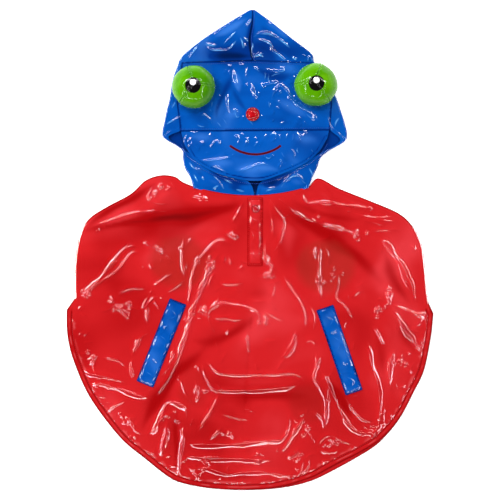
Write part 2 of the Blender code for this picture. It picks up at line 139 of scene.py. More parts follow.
def routeField(x, y, route):
    # Distance to a route, the share of its length at the nearest point, the side and its length.
    gap = np.full(x.shape, 1e9)
    along = np.zeros(x.shape)
    side = np.ones(x.shape)
    pieces = np.hypot(*np.diff(route, axis=0).T)
    total = pieces.sum()
    done = 0.0
    for start, end, piece in zip(route, route[1:], pieces):
        runX, runY = end - start
        t = np.clip(((x - start[0]) * runX + (y - start[1]) * runY) / (piece * piece), 0, 1)
        offX = x - start[0] - t * runX
        offY = y - start[1] - t * runY
        away = np.hypot(offX, offY)
        nearer = away < gap
        gap = np.where(nearer, away, gap)
        along = np.where(nearer, (done + t * piece) / total, along)
        side = np.where(nearer, np.sign(runX * offY - runY * offX), side)
        done += piece
    return gap, along, side, total


def gapTo(x, y, route):
    # Distance to a route.
    return routeField(x, y, route)[0]


def edgeGap(x, y, outline):
    # Distance to a closed outline.
    return gapTo(x, y, np.vstack([outline, outline[:1]]))


def insideOutline(x, y, outline):
    inside = np.zeros(x.shape, bool)
    for (x0, y0), (x1, y1) in zip(outline, np.roll(outline, -1, axis=0)):
        if y0 == y1:
            continue
        crosses = (y0 > y) != (y1 > y)
        inside ^= crosses & (x < x0 + (x1 - x0) * (y - y0) / (y1 - y0))
    return inside


def makeCrease(steep, half, points, lean=0.0, tip=0.6, swell=0.0, pale=0.0):
    # steep: slope of the steeper flank by the crest; half: how far that flank reaches;
    # lean: how much further the other one reaches, and on which side; tip: how round the crest is;
    # swell: height of the broad fold under the crest; pale: how strong the painted highlight is on the
    # crest.
    return {"steep": steep, "half": half, "route": smoothPath(points, 4.0), "lean": lean, "tip": tip,
            "swell": swell, "pale": pale}


def readCreases(table, steep, size=1.0, swell=0.0, tip=0.6, pale=0.0):
    # Turns a table of creases into routes; every other one leans the other way. The table's first
    # two columns are the height of each fold and the reach of its flank, here times swell and size.
    return [makeCrease(steep, size * half, points, lean=2.0 if index % 2 else -2.0, tip=tip,
                       swell=swell * rise, pale=min(1.0, pale * (0.3 + 0.12 * half)))
            for index, (rise, half, *points) in enumerate(table)]


def scatterCreases(seed, count, place, length, steep, half):
    # Short bent creases at random places; place(rng) gives a point and a direction or None.
    rng = random.Random(seed)
    made = []
    while len(made) < count:
        x, y, aim = place(rng)
        heading = rng.uniform(0, math.pi) if aim is None else aim + rng.gauss(0, 0.35)
        reach = rng.uniform(*length)
        points = [(x, y)]
        for _ in range(3):
            heading += rng.gauss(0, 0.5)
            x += reach / 3 * math.cos(heading)
            y += reach / 3 * math.sin(heading)
            points.append((x, y))
        made.append(makeCrease(rng.uniform(*steep), rng.uniform(*half), points,
                               lean=rng.choice((-2.0, 2.0)), tip=0.3, pale=0.4))
    return made


def eachCrease(x, y, creases, reach):
    # The points near each crease, with their distance, side, place along it and fade at its ends.
    for crease in creases:
        route = crease["route"]
        low = route.min(axis=0) - reach * crease["half"]
        high = route.max(axis=0) + reach * crease["half"]
        near = (x > low[0]) & (x < high[0]) & (y > low[1]) & (y < high[1])
        if near.any():
            gap, along, side, total = routeField(x[near], y[near], route)
            taper = min(24.0, 4 + total / 5, 0.42 * total)
            ends = smoothStep(along * total, 0, taper) * smoothStep((1 - along) * total, 0, taper)
            yield crease, near, gap, side, along * total, ends


def creaseHeight(x, y, creases):
    height = np.zeros(x.shape)
    for crease, near, gap, side, along, ends in eachCrease(x, y, creases, 7.5):
        half = crease["half"] * (1 + np.abs(crease["lean"]) * (side * crease["lean"] < 0))
        uneven = 0.95 + 0.25 * np.sin(along / 9 + crease["half"] * 7)
        soft = (np.sqrt(gap * gap + crease["tip"] ** 2) - crease["tip"]) / half
        crest = crease["steep"] * (crease["half"] + 0.9) * uneven * np.exp(-soft)
        height[near] += ends * (crest + crease["swell"] * bell(gap, 0, 3.0 * crease["half"]))
    return height


def paintedHighlightLine(x, y, creases, wide=0.46):
    # Up to 1 along the steep side of each crest: a painted highlight where the strip lights glint.
    line = np.zeros(x.shape)
    for crease, near, gap, side, along, ends in eachCrease(x, y, creases, 4.0):
        uneven = 0.6 + 0.4 * np.sin(along / 4.5 + crease["half"] * 11)
        aside = gap * np.sign(side * crease["lean"])
        shade = crease["pale"] * uneven * np.sqrt(ends) * bell(aside, 0.45, wide)
        line[near] = np.maximum(line[near], shade)
    return line


def bandField(x, y, bands, widen=1.0):
    # Soft bands along routes: each has its value, its width and the places it runs through.
    total = np.zeros(x.shape)
    for value, width, *points in bands:
        gap, along, _, length = routeField(x, y, smoothPath(points, 6.0))
        fade = max(2.5 * width, 0.35 * length)
        ends = smoothStep(along * length, -width, fade) * smoothStep((1 - along) * length, -width, fade)
        spread = width * widen * (0.5 + 0.5 * ends) * (1 + 0.2 * np.sin(along * length / 13))
        total += value * np.sqrt(ends) * bell(gap, 0, spread)
    return total


def fillOutline(outline, spacing, creases=(), rows=(0.0, 1.2, 2.6, 4.6), rowStep=2.4, rings=()):
    # Places of a sheet's points and the triangles between them: an even field, with more points
    # in rows along both sides of its creases, and in rings at the given distances from the rim.
    dense = [offsetPath(np.vstack([outline, outline[:1]]), -ring) for ring in rings]
    paths = [smoothPath(crease["route"], rowStep) for crease in creases]
    for row in rows:
        for path in paths:
            dense += [offsetPath(path, aside) for aside in ((row, -row) if row else (row,))]
    low = outline.min(axis=0)
    high = outline.max(axis=0)
    field = []
    for index, y in enumerate(np.arange(low[1], high[1], spacing * 0.866)):
        xs = np.arange(low[0] + (spacing / 2 if index % 2 else 0), high[0], spacing)
        field.append(np.column_stack([xs, np.full(xs.shape, y)]))
    cell = 1.4
    taken = {}

    def keep(points, least):
        # The points that stay at least so far from each other and from all kept before.
        kept = []
        span = range(-math.ceil(least / cell), math.ceil(least / cell) + 1)
        for px, py in points:
            cx, cy = int(px // cell), int(py // cell)
            near = (spot for ox in span for oy in span for spot in taken.get((cx + ox, cy + oy), ()))
            if all((px - qx) ** 2 + (py - qy) ** 2 >= least * least for qx, qy in near):
                taken.setdefault((cx, cy), []).append((px, py))
                kept.append((px, py))
        return kept

    keep(outline, 0.0)
    inner = []
    for places, least in ((dense, 0.62), (field, spacing * 0.72)):
        if places:
            places = np.vstack(places)
            inner += keep(places[insideOutline(*places.T, outline)], least)
    points = [Vector(point) for point in (*outline, *inner)]
    verts, _, faces, *_ = geometry.delaunay_2d_cdt(points, [], [list(range(len(outline)))], 0, 1e-5, False)
    places = np.array([tuple(vert) for vert in verts])
    middles = places[np.array([tuple(face) for face in faces])].mean(axis=1)
    inside = insideOutline(*middles.T, outline)
    return places, [tuple(face) for face, keeps in zip(faces, inside) if keeps]


def addObject(name, data):
    made = bpy.data.objects.new(name, data)
    bpy.context.scene.collection.objects.link(made)
    return made


def buildObject(name, points, faces, material, sharp=50):
    mesh = bpy.data.meshes.new(name)
    mesh.from_pydata([tuple(point) for point in np.asarray(points).tolist()], [], faces)
    work = bmesh.new()
    work.from_mesh(mesh)
    bmesh.ops.recalc_face_normals(work, faces=work.faces[:])
    work.to_mesh(mesh)
    work.free()
    mesh.shade_smooth()
    mesh.set_sharp_from_angle(angle=math.radians(sharp))
    mesh.materials.append(material)
    return addObject(name, mesh)


def shell(name, places, triangles, top, under, material):
    # A closed thin shell from one layer of places with heights for both sides, in millimetres.
    count = len(places)
    points = np.vstack([np.column_stack([places, top]), np.column_stack([places, under])]) * mm
    edges = dict.fromkeys(edge for face in triangles for edge in zip(face, face[1:] + face[:1]))
    faces = list(triangles)
    faces += [tuple(index + count for index in reversed(face)) for face in triangles]
    faces += [(end, start, start + count, end + count) for start, end in edges
              if (end, start) not in edges]
    return buildObject(name, points, faces, material)


def gridShell(name, outer, inner, material):
    # A closed shell from two equal grids of points in millimetres: rows by columns by 3.
    rows, columns = outer.shape[:2]
    count = rows * columns
    index = np.arange(count).reshape(rows, columns)
    quads = np.stack([index[:-1, :-1], index[:-1, 1:], index[1:, 1:], index[1:, :-1]], axis=-1)
    quads = quads.reshape(-1, 4)
    border = np.concatenate([index[0, :], index[1:, -1], index[-1, -2::-1], index[-2:0:-1, 0]])
    after = np.roll(border, -1)
    rim = np.column_stack([after, border, border + count, after + count])
    points = np.vstack([outer.reshape(-1, 3), inner.reshape(-1, 3)]) * mm
    faces = [tuple(face) for face in np.vstack([quads, quads[:, ::-1] + count, rim]).tolist()]
    return buildObject(name, points, faces, material)


def domeMesh(profile, columns, top):
    # Points and faces of a closed dome, from the radius and height of each ring, foot first.
    angle = np.linspace(0, 2 * math.pi, columns, endpoint=False)
    rings = [np.column_stack([radius * np.cos(angle), radius * np.sin(angle), np.full(columns, height)])
             for radius, height in profile]
    points = np.vstack(rings + [[(0, 0, top), (0, 0, profile[0][1])]])
    peak = len(profile) * columns
    faces = [(peak + 1, (column + 1) % columns, column) for column in range(columns)]
    for column in range(columns):
        after = (column + 1) % columns
        for low in range(0, peak - columns, columns):
            faces.append((low + column, low + after, low + columns + after, low + columns + column))
        faces.append((peak - columns + column, peak - columns + after, peak))
    return points, faces


def addRelief(piece, values, name="toneAndShade"):
    # A value for each point, for the shader, under the given name. The default one deepens the colour below
    # 0 and pales it above 0. It holds random tone, dark seams and edges, painted shade in hollows and inside
    # the hood, and painted sheen on swells. A crest value is up to 1 on the line of a crease, where a
    # highlight is painted.
    mesh = piece.data
    full = np.concatenate([values, values]) if len(values) * 2 == len(mesh.vertices) else values
    layer = mesh.attributes.new(name, "FLOAT", "POINT")
    layer.data.foreach_set("value", full.astype(np.float32))


def declare(piece, node):
    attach(piece, "root")
    if node:
        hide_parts(node)


# A stitch of thread: wide is its half width, lift how far its middle is off the cloth, sink how far
# its ends dip into it; girths are its thickness at each of the shares of its length.
stitch = {"pitch": 3.1, "length": 2.3, "wide": 0.32, "lift": 0.12, "sink": 0.25, "sides": 6,
          "shares": (-1.0, -0.6, 0.6, 1.0), "girths": (0.35, 1.0, 1.0, 0.35)}


def stitchRow(name, path, heights, material, slotName, **other):
    # A row of short thread stitches along a path; heights is a function of x and y.
    look = {**stitch, **other}
    pitch, sides, shares = look["pitch"], look["sides"], look["shares"]
    route = smoothPath(path, pitch) if len(path) < 40 else path
    ahead = unit(np.gradient(route, axis=0))
    z = heights(route[:, 0], route[:, 1])
    points = []
    faces = []
    for (x, y), (dx, dy), height, rise in zip(route, ahead, z, np.gradient(z)):
        first = len(points)
        for share, girth in zip(shares, look["girths"]):
            along = share * look["length"] / 2
            middle = height + look["lift"] + rise * along / pitch - look["sink"] * (abs(share) > 0.9)
            for side in range(sides):
                angle = 2 * math.pi * side / sides
                off = look["wide"] * girth * math.cos(angle)
                up = look["wide"] * girth * math.sin(angle)
                points.append((x + dx * along - dy * off, y + dy * along + dx * off, middle + up))
        last = len(points) - sides
        for ring in range(first, last, sides):
            for side in range(sides):
                a = ring + side
                b = ring + (side + 1) % sides
                faces.append((a, b, b + sides, a + sides))
        faces.append(tuple(range(first, first + sides)))
        faces.append(tuple(reversed(range(last, last + sides))))
    made = buildObject(name, np.array(points) * mm, faces, material)
    declare(made, None)


def feed(tree, socket, value):
    # Links a socket to the output of another node, or sets its value.
    if isinstance(value, bpy.types.NodeSocket):
        tree.links.new(value, socket)
    else:
        socket.default_value = value


def addNode(tree, kind, inputs=(), **settings):
    # inputs: what feeds each socket, by its name or its place.
    node = tree.nodes.new("ShaderNode" + kind)
    for key, value in settings.items():
        setattr(node, key, value)
    for key, value in dict(inputs).items():
        feed(tree, node.inputs[key], value)
    return node


def placeOf(tree):
    return addNode(tree, "TexCoord").outputs["Object"]


def attributeOf(tree, name):
    return addNode(tree, "Attribute", attribute_name=name).outputs["Fac"]


def blendColour(tree, share, first, second):
    return addNode(tree, "Mix", {0: share, 6: first, 7: second}, data_type="RGBA").outputs[2]


def rangeOf(tree, value, fromLow, fromHigh, toLow, toHigh, ease="SMOOTHSTEP"):
    inputs = dict(enumerate((value, fromLow, fromHigh, toLow, toHigh)))
    return addNode(tree, "MapRange", inputs, interpolation_type=ease).outputs[0]


def noiseOf(tree, place, scale, detail=3.0, rough=0.5, bend=0.0):
    inputs = {"Vector": place, "Scale": scale, "Detail": detail, "Roughness": rough, "Distortion": bend}
    return addNode(tree, "TexNoise", inputs).outputs[0]


def mathOf(tree, work, first, second=0.0):
    return addNode(tree, "Math", {0: first, 1: second}, operation=work).outputs[0]


def vectorOf(tree, work, first, second=(0, 0, 0)):
    # A length or a distance comes out as a number, all else as a vector.
    made = addNode(tree, "VectorMath", {0: first, 1: second}, operation=work)
    return made.outputs["Value" if work in ("LENGTH", "DISTANCE") else "Vector"]


def newGroup(name, inputs, outputs):
    # A node group with its inputs and outputs; an input's kind follows from its value.
    group = bpy.data.node_groups.new(name, "ShaderNodeTree")
    for label, value in inputs.items():
        kind = {4: "NodeSocketColor", 3: "NodeSocketVector", 1: "NodeSocketFloat"}[np.size(value)]
        socket = group.interface.new_socket(name=label, in_out="INPUT", socket_type=kind)
        socket.default_value = value
    for label, kind in outputs.items():
        group.interface.new_socket(name=label, in_out="OUTPUT", socket_type=kind)
    return group, group.nodes.new("NodeGroupInput").outputs, group.nodes.new("NodeGroupOutput").inputs


def makeFilmGroup():
    # Dyed film with cloudy colour. From its point values it takes painted shade in the hollows, painted
    # sheen on the swells and a painted highlight along each crease. It is darker still on seams and edges,
    # and has painted shade inside the hood. It has fine rumples.
    group, take, give = newGroup(
        "filmColourAndPaintedLight",
        {"Body": (0.6, 0.01, 0.01, 1), "Deep": (0.4, 0, 0, 1), "Pale": (0.8, 0.1, 0.1, 1),
         "Crest": (0.8, 0.2, 0.2, 1), "Cloud Scale": 9.0, "Rumple Scale": 60.0},
        {"Color": "NodeSocketColor", "Roughness": "NodeSocketFloat", "Height": "NodeSocketFloat"})
    place = placeOf(group)
    toneAndShade = attributeOf(group, "toneAndShade")
    cloud = noiseOf(group, place, take["Cloud Scale"], detail=2.5, bend=0.6)
    # A painted highlight along the crease lines.
    crest = rangeOf(group, attributeOf(group, "crest"), 0.1, 1.0, 0.0, 0.85, "LINEAR")
    colour = take["Body"]
    # Random clouds deepen and pale the colour. Then come painted shade in the hollows, painted sheen on the
    # swells and the painted highlight.
    for share, tone in ((rangeOf(group, cloud, 0.28, 0.5, 0.6, 0.0), "Deep"),
                        (rangeOf(group, cloud, 0.5, 0.75, 0.0, 0.75), "Pale"),
                        (rangeOf(group, toneAndShade, -1.0, 0.0, 0.9, 0.0), "Deep"),
                        (rangeOf(group, toneAndShade, 0.1, 1.0, 0.0, 0.8), "Pale"), (crest, "Crest")):
        colour = blendColour(group, share, colour, take[tone])
    # Darker still below -1: dark seams and edges, and painted shade inside the hood.
    shade = rangeOf(group, toneAndShade, -2.0, -1.0, 0.3, 1.0)
    shaded = addNode(group, "VectorMath", {0: colour, "Scale": shade}, operation="SCALE")
    feed(group, give["Color"], shaded.outputs[0])
    smear = noiseOf(group, place, 26.0, detail=4.0, rough=0.6)
    feed(group, give["Roughness"], rangeOf(group, smear, 0.35, 0.75, 0.05, 0.1))
    rumple = noiseOf(group, place, take["Rumple Scale"], rough=0.45, bend=1.2)
    fine = noiseOf(group, place, 900.0, detail=2.0)
    feed(group, give["Height"], mathOf(group, "ADD", rumple, mathOf(group, "MULTIPLY", fine, 0.04)))
    return group


def makePatchGroup():
    # A soft oval where something behind the film shows through.
    group, take, give = newGroup(
        "showThrough", {"Centre": (0, 0, 0), "Radii": (1, 1, 1), "Turn": 0.0, "Amount": 0.5},
        {"Mask": "NodeSocketFloat"})
    place = placeOf(group)
    away = vectorOf(group, "SUBTRACT", place, take["Centre"])
    turned = addNode(group, "VectorRotate", {"Vector": away, "Angle": take["Turn"]},
                     rotation_type="Z_AXIS").outputs[0]
    flat = vectorOf(group, "MULTIPLY", vectorOf(group, "DIVIDE", turned, take["Radii"]), (1, 1, 0))
    smudge = rangeOf(group, noiseOf(group, place, 30.0, detail=2.0), 0.3, 0.7, -0.06, 0.06)
    reach = mathOf(group, "ADD", vectorOf(group, "LENGTH", flat), smudge)
    mask = rangeOf(group, reach, 0.72, 1.08, 1.0, 0.0)
    feed(group, give["Mask"], mathOf(group, "MULTIPLY", mask, take["Amount"]))
    return group


def makeDotGroup():
    # A round printed dot: everything within Radius of Centre.
    group, take, give = newGroup("printedDot", {"Centre": (0, 0, 0), "Radius": 0.01},
                                 {"Mask": "NodeSocketFloat"})
    away = vectorOf(group, "DISTANCE", placeOf(group), take["Centre"])
    inside = mathOf(group, "SUBTRACT", take["Radius"], away)
    feed(group, give["Mask"], rangeOf(group, inside, -0.0003, 0.0003, 0.0, 1.0))
    return group


def makeArcGroup():
    # A printed line along the lower part of a circle, in plan, with round ends.
    group, take, give = newGroup(
        "printedArc", {"Centre": (0, 0, 0), "Radius": 0.05, "Half Width": 0.001, "Half Angle": 0.6},
        {"Mask": "NodeSocketFloat"})
    away = vectorOf(group, "SUBTRACT", placeOf(group), take["Centre"])
    flat = vectorOf(group, "MULTIPLY", away, (1, 1, 0))
    parts = addNode(group, "SeparateXYZ", {0: flat}).outputs
    angle = mathOf(group, "ARCTAN2", parts[0], mathOf(group, "MULTIPLY", parts[1], -1.0))
    beyond = mathOf(group, "SUBTRACT", mathOf(group, "ABSOLUTE", angle), take["Half Angle"])
    beyond = mathOf(group, "MULTIPLY", mathOf(group, "MAXIMUM", beyond, 0.0), take["Radius"])
    aside = mathOf(group, "SUBTRACT", vectorOf(group, "LENGTH", flat), take["Radius"])
    squares = [mathOf(group, "MULTIPLY", value, value) for value in (aside, beyond)]
    gap = mathOf(group, "SQRT", mathOf(group, "ADD", *squares))
    inside = mathOf(group, "SUBTRACT", take["Half Width"], gap)
    feed(group, give["Mask"], rangeOf(group, inside, -0.0003, 0.0003, 0.0, 1.0))
    return group


filmGroup = makeFilmGroup()
patchGroup = makePatchGroup()
printGroups = {"dot": makeDotGroup(), "arc": makeArcGroup()}


def newMaterial(name):
    # A material with its node tree and the sockets of its shader.
    material = bpy.data.materials.new(name)
    material.use_nodes = True
    return material, material.node_tree, material.node_tree.nodes["Principled BSDF"].inputs


def makeFilm(name, look, patches=(), prints=()):
    # Glossy film. look holds its colours and gloss; patches are ovals that show through it, and
    # prints are painted over it.
    material, tree, shader = newMaterial(name)
    tones = {label: (*look[label.lower()], 1.0) for label in ("Body", "Deep", "Pale", "Crest")}
    scales = {"Cloud Scale": look["cloudScale"], "Rumple Scale": look["rumpleScale"]}
    tone = addNode(tree, "Group", {**tones, **scales}, node_tree=filmGroup).outputs
    colour = tone["Color"]
    for patch in patches:
        centreX, centreY = patch["centre"]
        radiusX, radiusY = patch["radii"]
        oval = {"Centre": (centreX * mm, centreY * mm, 0), "Radii": (radiusX * mm, radiusY * mm, 1),
                "Turn": math.radians(patch["turn"]), "Amount": patch["amount"]}
        spot = addNode(tree, "Group", oval, node_tree=patchGroup)
        colour = blendColour(tree, spot.outputs["Mask"], colour, (*patch["colour"], 1.0))
    for mark in prints:
        ink = addNode(tree, "Group", mark["sizes"], node_tree=printGroups[mark["kind"]])
        colour = blendColour(tree, ink.outputs["Mask"], colour, (*mark["colour"], 1.0))
    feed(tree, shader["Base Color"], colour)
    feed(tree, shader["Roughness"], tone["Roughness"])
    bump = addNode(tree, "Bump", {"Strength": look["bump"], "Distance": look["bumpDepth"] * mm,
                                  "Height": tone["Height"]})
    feed(tree, shader["Normal"], bump.outputs[0])
    shader["IOR"].default_value = 1.53
    shader["Specular IOR Level"].default_value = look["specular"]
    shader["Coat Weight"].default_value = look["coat"]
    shader["Coat Roughness"].default_value = 0.03
    return material


def makeThread(name, colour):
    # Spun thread: matt, with a fine twist.
    material, tree, shader = newMaterial(name)
    twist = noiseOf(tree, placeOf(tree), 2600.0, detail=2.0)
    dark = [value * 0.6 for value in colour]
    tint = blendColour(tree, rangeOf(tree, twist, 0.35, 0.65, 0.0, 1.0), (*colour, 1), (*dark, 1))
    feed(tree, shader["Base Color"], tint)
    bump = addNode(tree, "Bump", {"Strength": 0.5, "Distance": 0.0001, "Height": twist})
    feed(tree, shader["Normal"], bump.outputs[0])
    shader["Roughness"].default_value = 0.6
    return material


# Colours and gloss of each film: deep and pale serve for random clouds and for painted shade and sheen, and
# crest is the colour of the painted highlight along its creases. The scales are those of its clouds and of
# its rumples.
redLook = {"body": (0.574, 0.013, 0.016), "deep": (0.34, 0.001, 0.002), "pale": (0.74, 0.045, 0.055),
           "crest": (0.8, 0.17, 0.18), "cloudScale": 7.0, "rumpleScale": 45.0,
           "bump": 0.25, "bumpDepth": 0.35, "coat": 0.2, "specular": 0.75}
blueLook = {"body": (0.001, 0.086, 0.43), "deep": (0.0002, 0.022, 0.19), "pale": (0.04, 0.195, 0.66),
            "crest": (0.13, 0.46, 0.9), "cloudScale": 10.0, "rumpleScale": 60.0,
            "bump": 0.25, "bumpDepth": 0.35, "coat": 0.2, "specular": 0.75}
greenLook = {"body": (0.085, 0.33, 0.001), "deep": (0.03, 0.2, 0.001), "pale": (0.13, 0.42, 0.004),
             "crest": (0.4, 0.7, 0.1), "cloudScale": 20.0, "rumpleScale": 110.0,
             "bump": 0.3, "bumpDepth": 0.4, "coat": 0.0, "specular": 0.4}
snapLook = {"body": (0.46, 0.004, 0.008), "deep": (0.2, 0.001, 0.002), "pale": (0.55, 0.008, 0.012),
            "crest": (0.8, 0.17, 0.18), "cloudScale": 90.0, "rumpleScale": 200.0,
            "bump": 0.1, "bumpDepth": 0.1, "coat": 0.2, "specular": 0.6}
# Ovals of the front that something behind the film shows through; turn is in degrees.
hiddenSpots = (
    {"centre": (-106, -18), "radii": (50, 42), "turn": 0, "amount": 0.42, "colour": (0.3, 0.02, 0.012)},
    {"centre": (113, -26), "radii": (47, 44), "turn": 12, "amount": 0.42, "colour": (0.3, 0.025, 0.016)},
    {"centre": (86, -229), "radii": (30, 32), "turn": 0, "amount": 0.32, "colour": (0.33, 0.012, 0.01)},
    {"centre": (-84, -205), "radii": (26, 34), "turn": 0, "amount": 0.25, "colour": (0.33, 0.012, 0.01)},
)
# Stuffed eyes: each has its place, the point where its gore seams meet, the directions that they
# run in from there, and its creases.
eyes = {
    "eyeLeft": {"node": "eye_left", "place": (-84.0, 243.0), "seed": 101,
                "meet": (2, 4), "turns": (112, 232, 352),
                "creases": ((0.8, 2.6, (-22, 6), (-14, -2), (-10, -12)),
                            (0.7, 2.4, (8, 22), (16, 18), (22, 8)),
                            (0.7, 2.2, (-6, 20), (-12, 14), (-20, 14)),
                            (0.8, 2.4, (4, -22), (12, -18), (20, -16)))},
    "eyeRight": {"node": "eye_right", "place": (98.0, 246.0), "seed": 111,
                 "meet": (-2, 4), "turns": (68, 188, 308),
                 "creases": ((0.8, 2.6, (20, 8), (13, -1), (12, -12)),
                             (0.7, 2.4, (-8, 22), (-17, 17), (-21, 9)),
                             (0.7, 2.2, (6, 20), (13, 15), (20, 16)),
                             (0.8, 2.4, (-6, -22), (-13, -17), (-21, -14)))},
}
eyeShape = {"radius": 33.0, "foot": 30.5, "height": 29.0, "base": 4.7, "skin": 0.7, "drawIn": 0.38,
            "pupil": 11.8, "glint": 4.8, "glintUp": 4.5, "columns": 72, "rings": 20}
# A printed mouth, in metres and radians.
smile = {"kind": "arc", "colour": (0.09, 0.004, 0.008),
         "sizes": {"Centre": (0.008, 0.205, 0), "Radius": 0.062, "Half Width": 0.0017, "Half Angle": 0.64}}


def eyePrints():
    # A black pupil in the middle of each eye's top, with a small pale glint in it.
    prints = []
    top = (eyeShape["base"] + eyeShape["height"]) * mm
    for eye in eyes.values():
        x, y = eye["place"]
        for value, radius, up in ((0.004, "pupil", 0.0), (0.9, "glint", eyeShape["glintUp"])):
            sizes = {"Centre": (x * mm, (y + up) * mm, top), "Radius": eyeShape[radius] * mm}
            prints.append({"kind": "dot", "colour": (value, value, value), "sizes": sizes})
    return prints


redFilm = makeFilm("redFilm", redLook, hiddenSpots)
redPlain = makeFilm("redPlain", redLook)
blueFilm = makeFilm("blueFilm", blueLook)
visorFilm = makeFilm("visorFilm", blueLook, (), (smile,))
eyeFilm = makeFilm("eyeFilm", greenLook, (), eyePrints())
snapPlastic = makeFilm("snapPlastic", snapLook)
redThread = makeThread("redThread", (0.5, 0.006, 0.012))
blueThread = makeThread("blueThread", (0.004, 0.06, 0.42))
print("materials made")


cape = {
    "neckX": 1.5, "neckHalf": 87.0, "neckFrontY": 82.0, "neckFrontDeep": 13.5,
    "neckBackY": 84.0, "neckBackDeep": 11.5,
    "shoulderRight": ((88.5, 95.5), (103, 107.5), (134, 92), (179, 74), (221, 56), (242, 38), (254, 18),
                      (260, -4), (265, -58), (268, -80)),
    "hem": ((275, -95), (271, -132), (261, -180), (245, -214), (226, -250), (205, -277), (180, -299),
            (122, -332), (86, -348), (44, -357), (-8, -360), (-62, -357), (-103, -349), (-124, -339),
            (-157, -313), (-190, -286), (-220, -250), (-244, -214), (-260, -178), (-270, -148),
            (-274.5, -120), (-275, -90)),
    "shoulderLeft": ((-262.5, -72), (-263, -31), (-260, 2), (-253, 28), (-240, 48), (-214, 65),
                     (-179, 84), (-157, 104), (-134, 112), (-113, 110), (-101, 102), (-85.5, 95.5)),
    "centre": (0.0, -120.0), "backThick": 0.8, "edgeTop": 1.9, "neckLift": 2.3, "highest": 11.0,
    "hemInset": 0.6, "footInset": 5.5, "hemWidth": 7.6, "hemLine": 7.4, "turning": 3.8,
}
# Strips sewn on the front: inset is how far in from the edge the stitches run, dark how deep the
# colour is along them.
placket = {"top": (7.5, 79), "foot": (7.5, -24), "width": 23.0, "thick": 0.9, "inset": 2.8, "dark": 1.4,
           "seed": 61,
           "creases": ((1.2, 3.0, (1, 74), (6, 66), (16, 60)), (1.0, 2.4, (0, 50), (8, 44), (14, 46)),
                       (1.1, 2.6, (2, 30), (6, 20), (3, 10)), (0.9, 2.4, (12, 28), (15, 14), (11, 2)),
                       (1.0, 2.6, (1, -2), (8, -8), (16, -4)))}
weltLeft = {"top": (-107.5, -77), "foot": (-157.5, -201), "width": 27.0, "thick": 1.2, "inset": 2.0,
            "dark": 1.7, "seed": 62,
            "creases": ((1.0, 2.6, (-118, -88), (-110, -98), (-120, -104)),
                        (1.0, 2.6, (-136, -128), (-126, -136), (-130, -148)),
                        (0.9, 2.4, (-146, -160), (-138, -170)),
                        (1.0, 2.6, (-156, -182), (-146, -190), (-150, -198)),
                        (0.8, 2.2, (-122, -112), (-130, -118)))}
weltRight = {"top": (112, -86), "foot": (156, -213.5), "width": 27.0, "thick": 1.2, "inset": 2.0,
             "dark": 1.7, "seed": 63,
             "creases": ((1.0, 2.6, (112, -98), (124, -104), (120, -114)),
                         (1.0, 2.6, (124, -130), (134, -138), (130, -150)),
                         (0.9, 2.4, (138, -166), (146, -172)),
                         (1.0, 2.6, (144, -190), (154, -196), (150, -206)),
                         (0.8, 2.2, (130, -120), (120, -124)))}


def neckLine(low, swing):
    x = np.linspace(cape["neckX"] - cape["neckHalf"], cape["neckX"] + cape["neckHalf"], 74)[1:-1]
    return np.column_stack([x, low + swing * ((x - cape["neckX"]) / cape["neckHalf"]) ** 2])


def capeOutline(neck, step=2.6):
    runs = [smoothPath(cape[run], step) for run in ("shoulderRight", "hem", "shoulderLeft")]
    return np.vstack([neck] + runs)


def drawnIn(points, inset):
    # Points moved towards the middle of the cape.
    return points + unit(np.array(cape["centre"]) - points) * inset[:, None]


def frontOutline():
    # The front hem lies just inside the back hem, more so along the right of the foot.
    outline = capeOutline(neckLine(cape["neckFrontY"], cape["neckFrontDeep"]))
    x, y = outline.T
    inset = cape["hemInset"] + cape["footInset"] * smoothStep(-y, 230, 300) * bell(x, 125, 75)
    inset += 0.5 * lumps(x, y, 23, 4) * smoothStep(-y, 60, 90)
    neck = (y > 80) & (np.abs(x - cape["neckX"]) < cape["neckHalf"])
    return drawnIn(outline, np.where(neck, 0.0, inset))


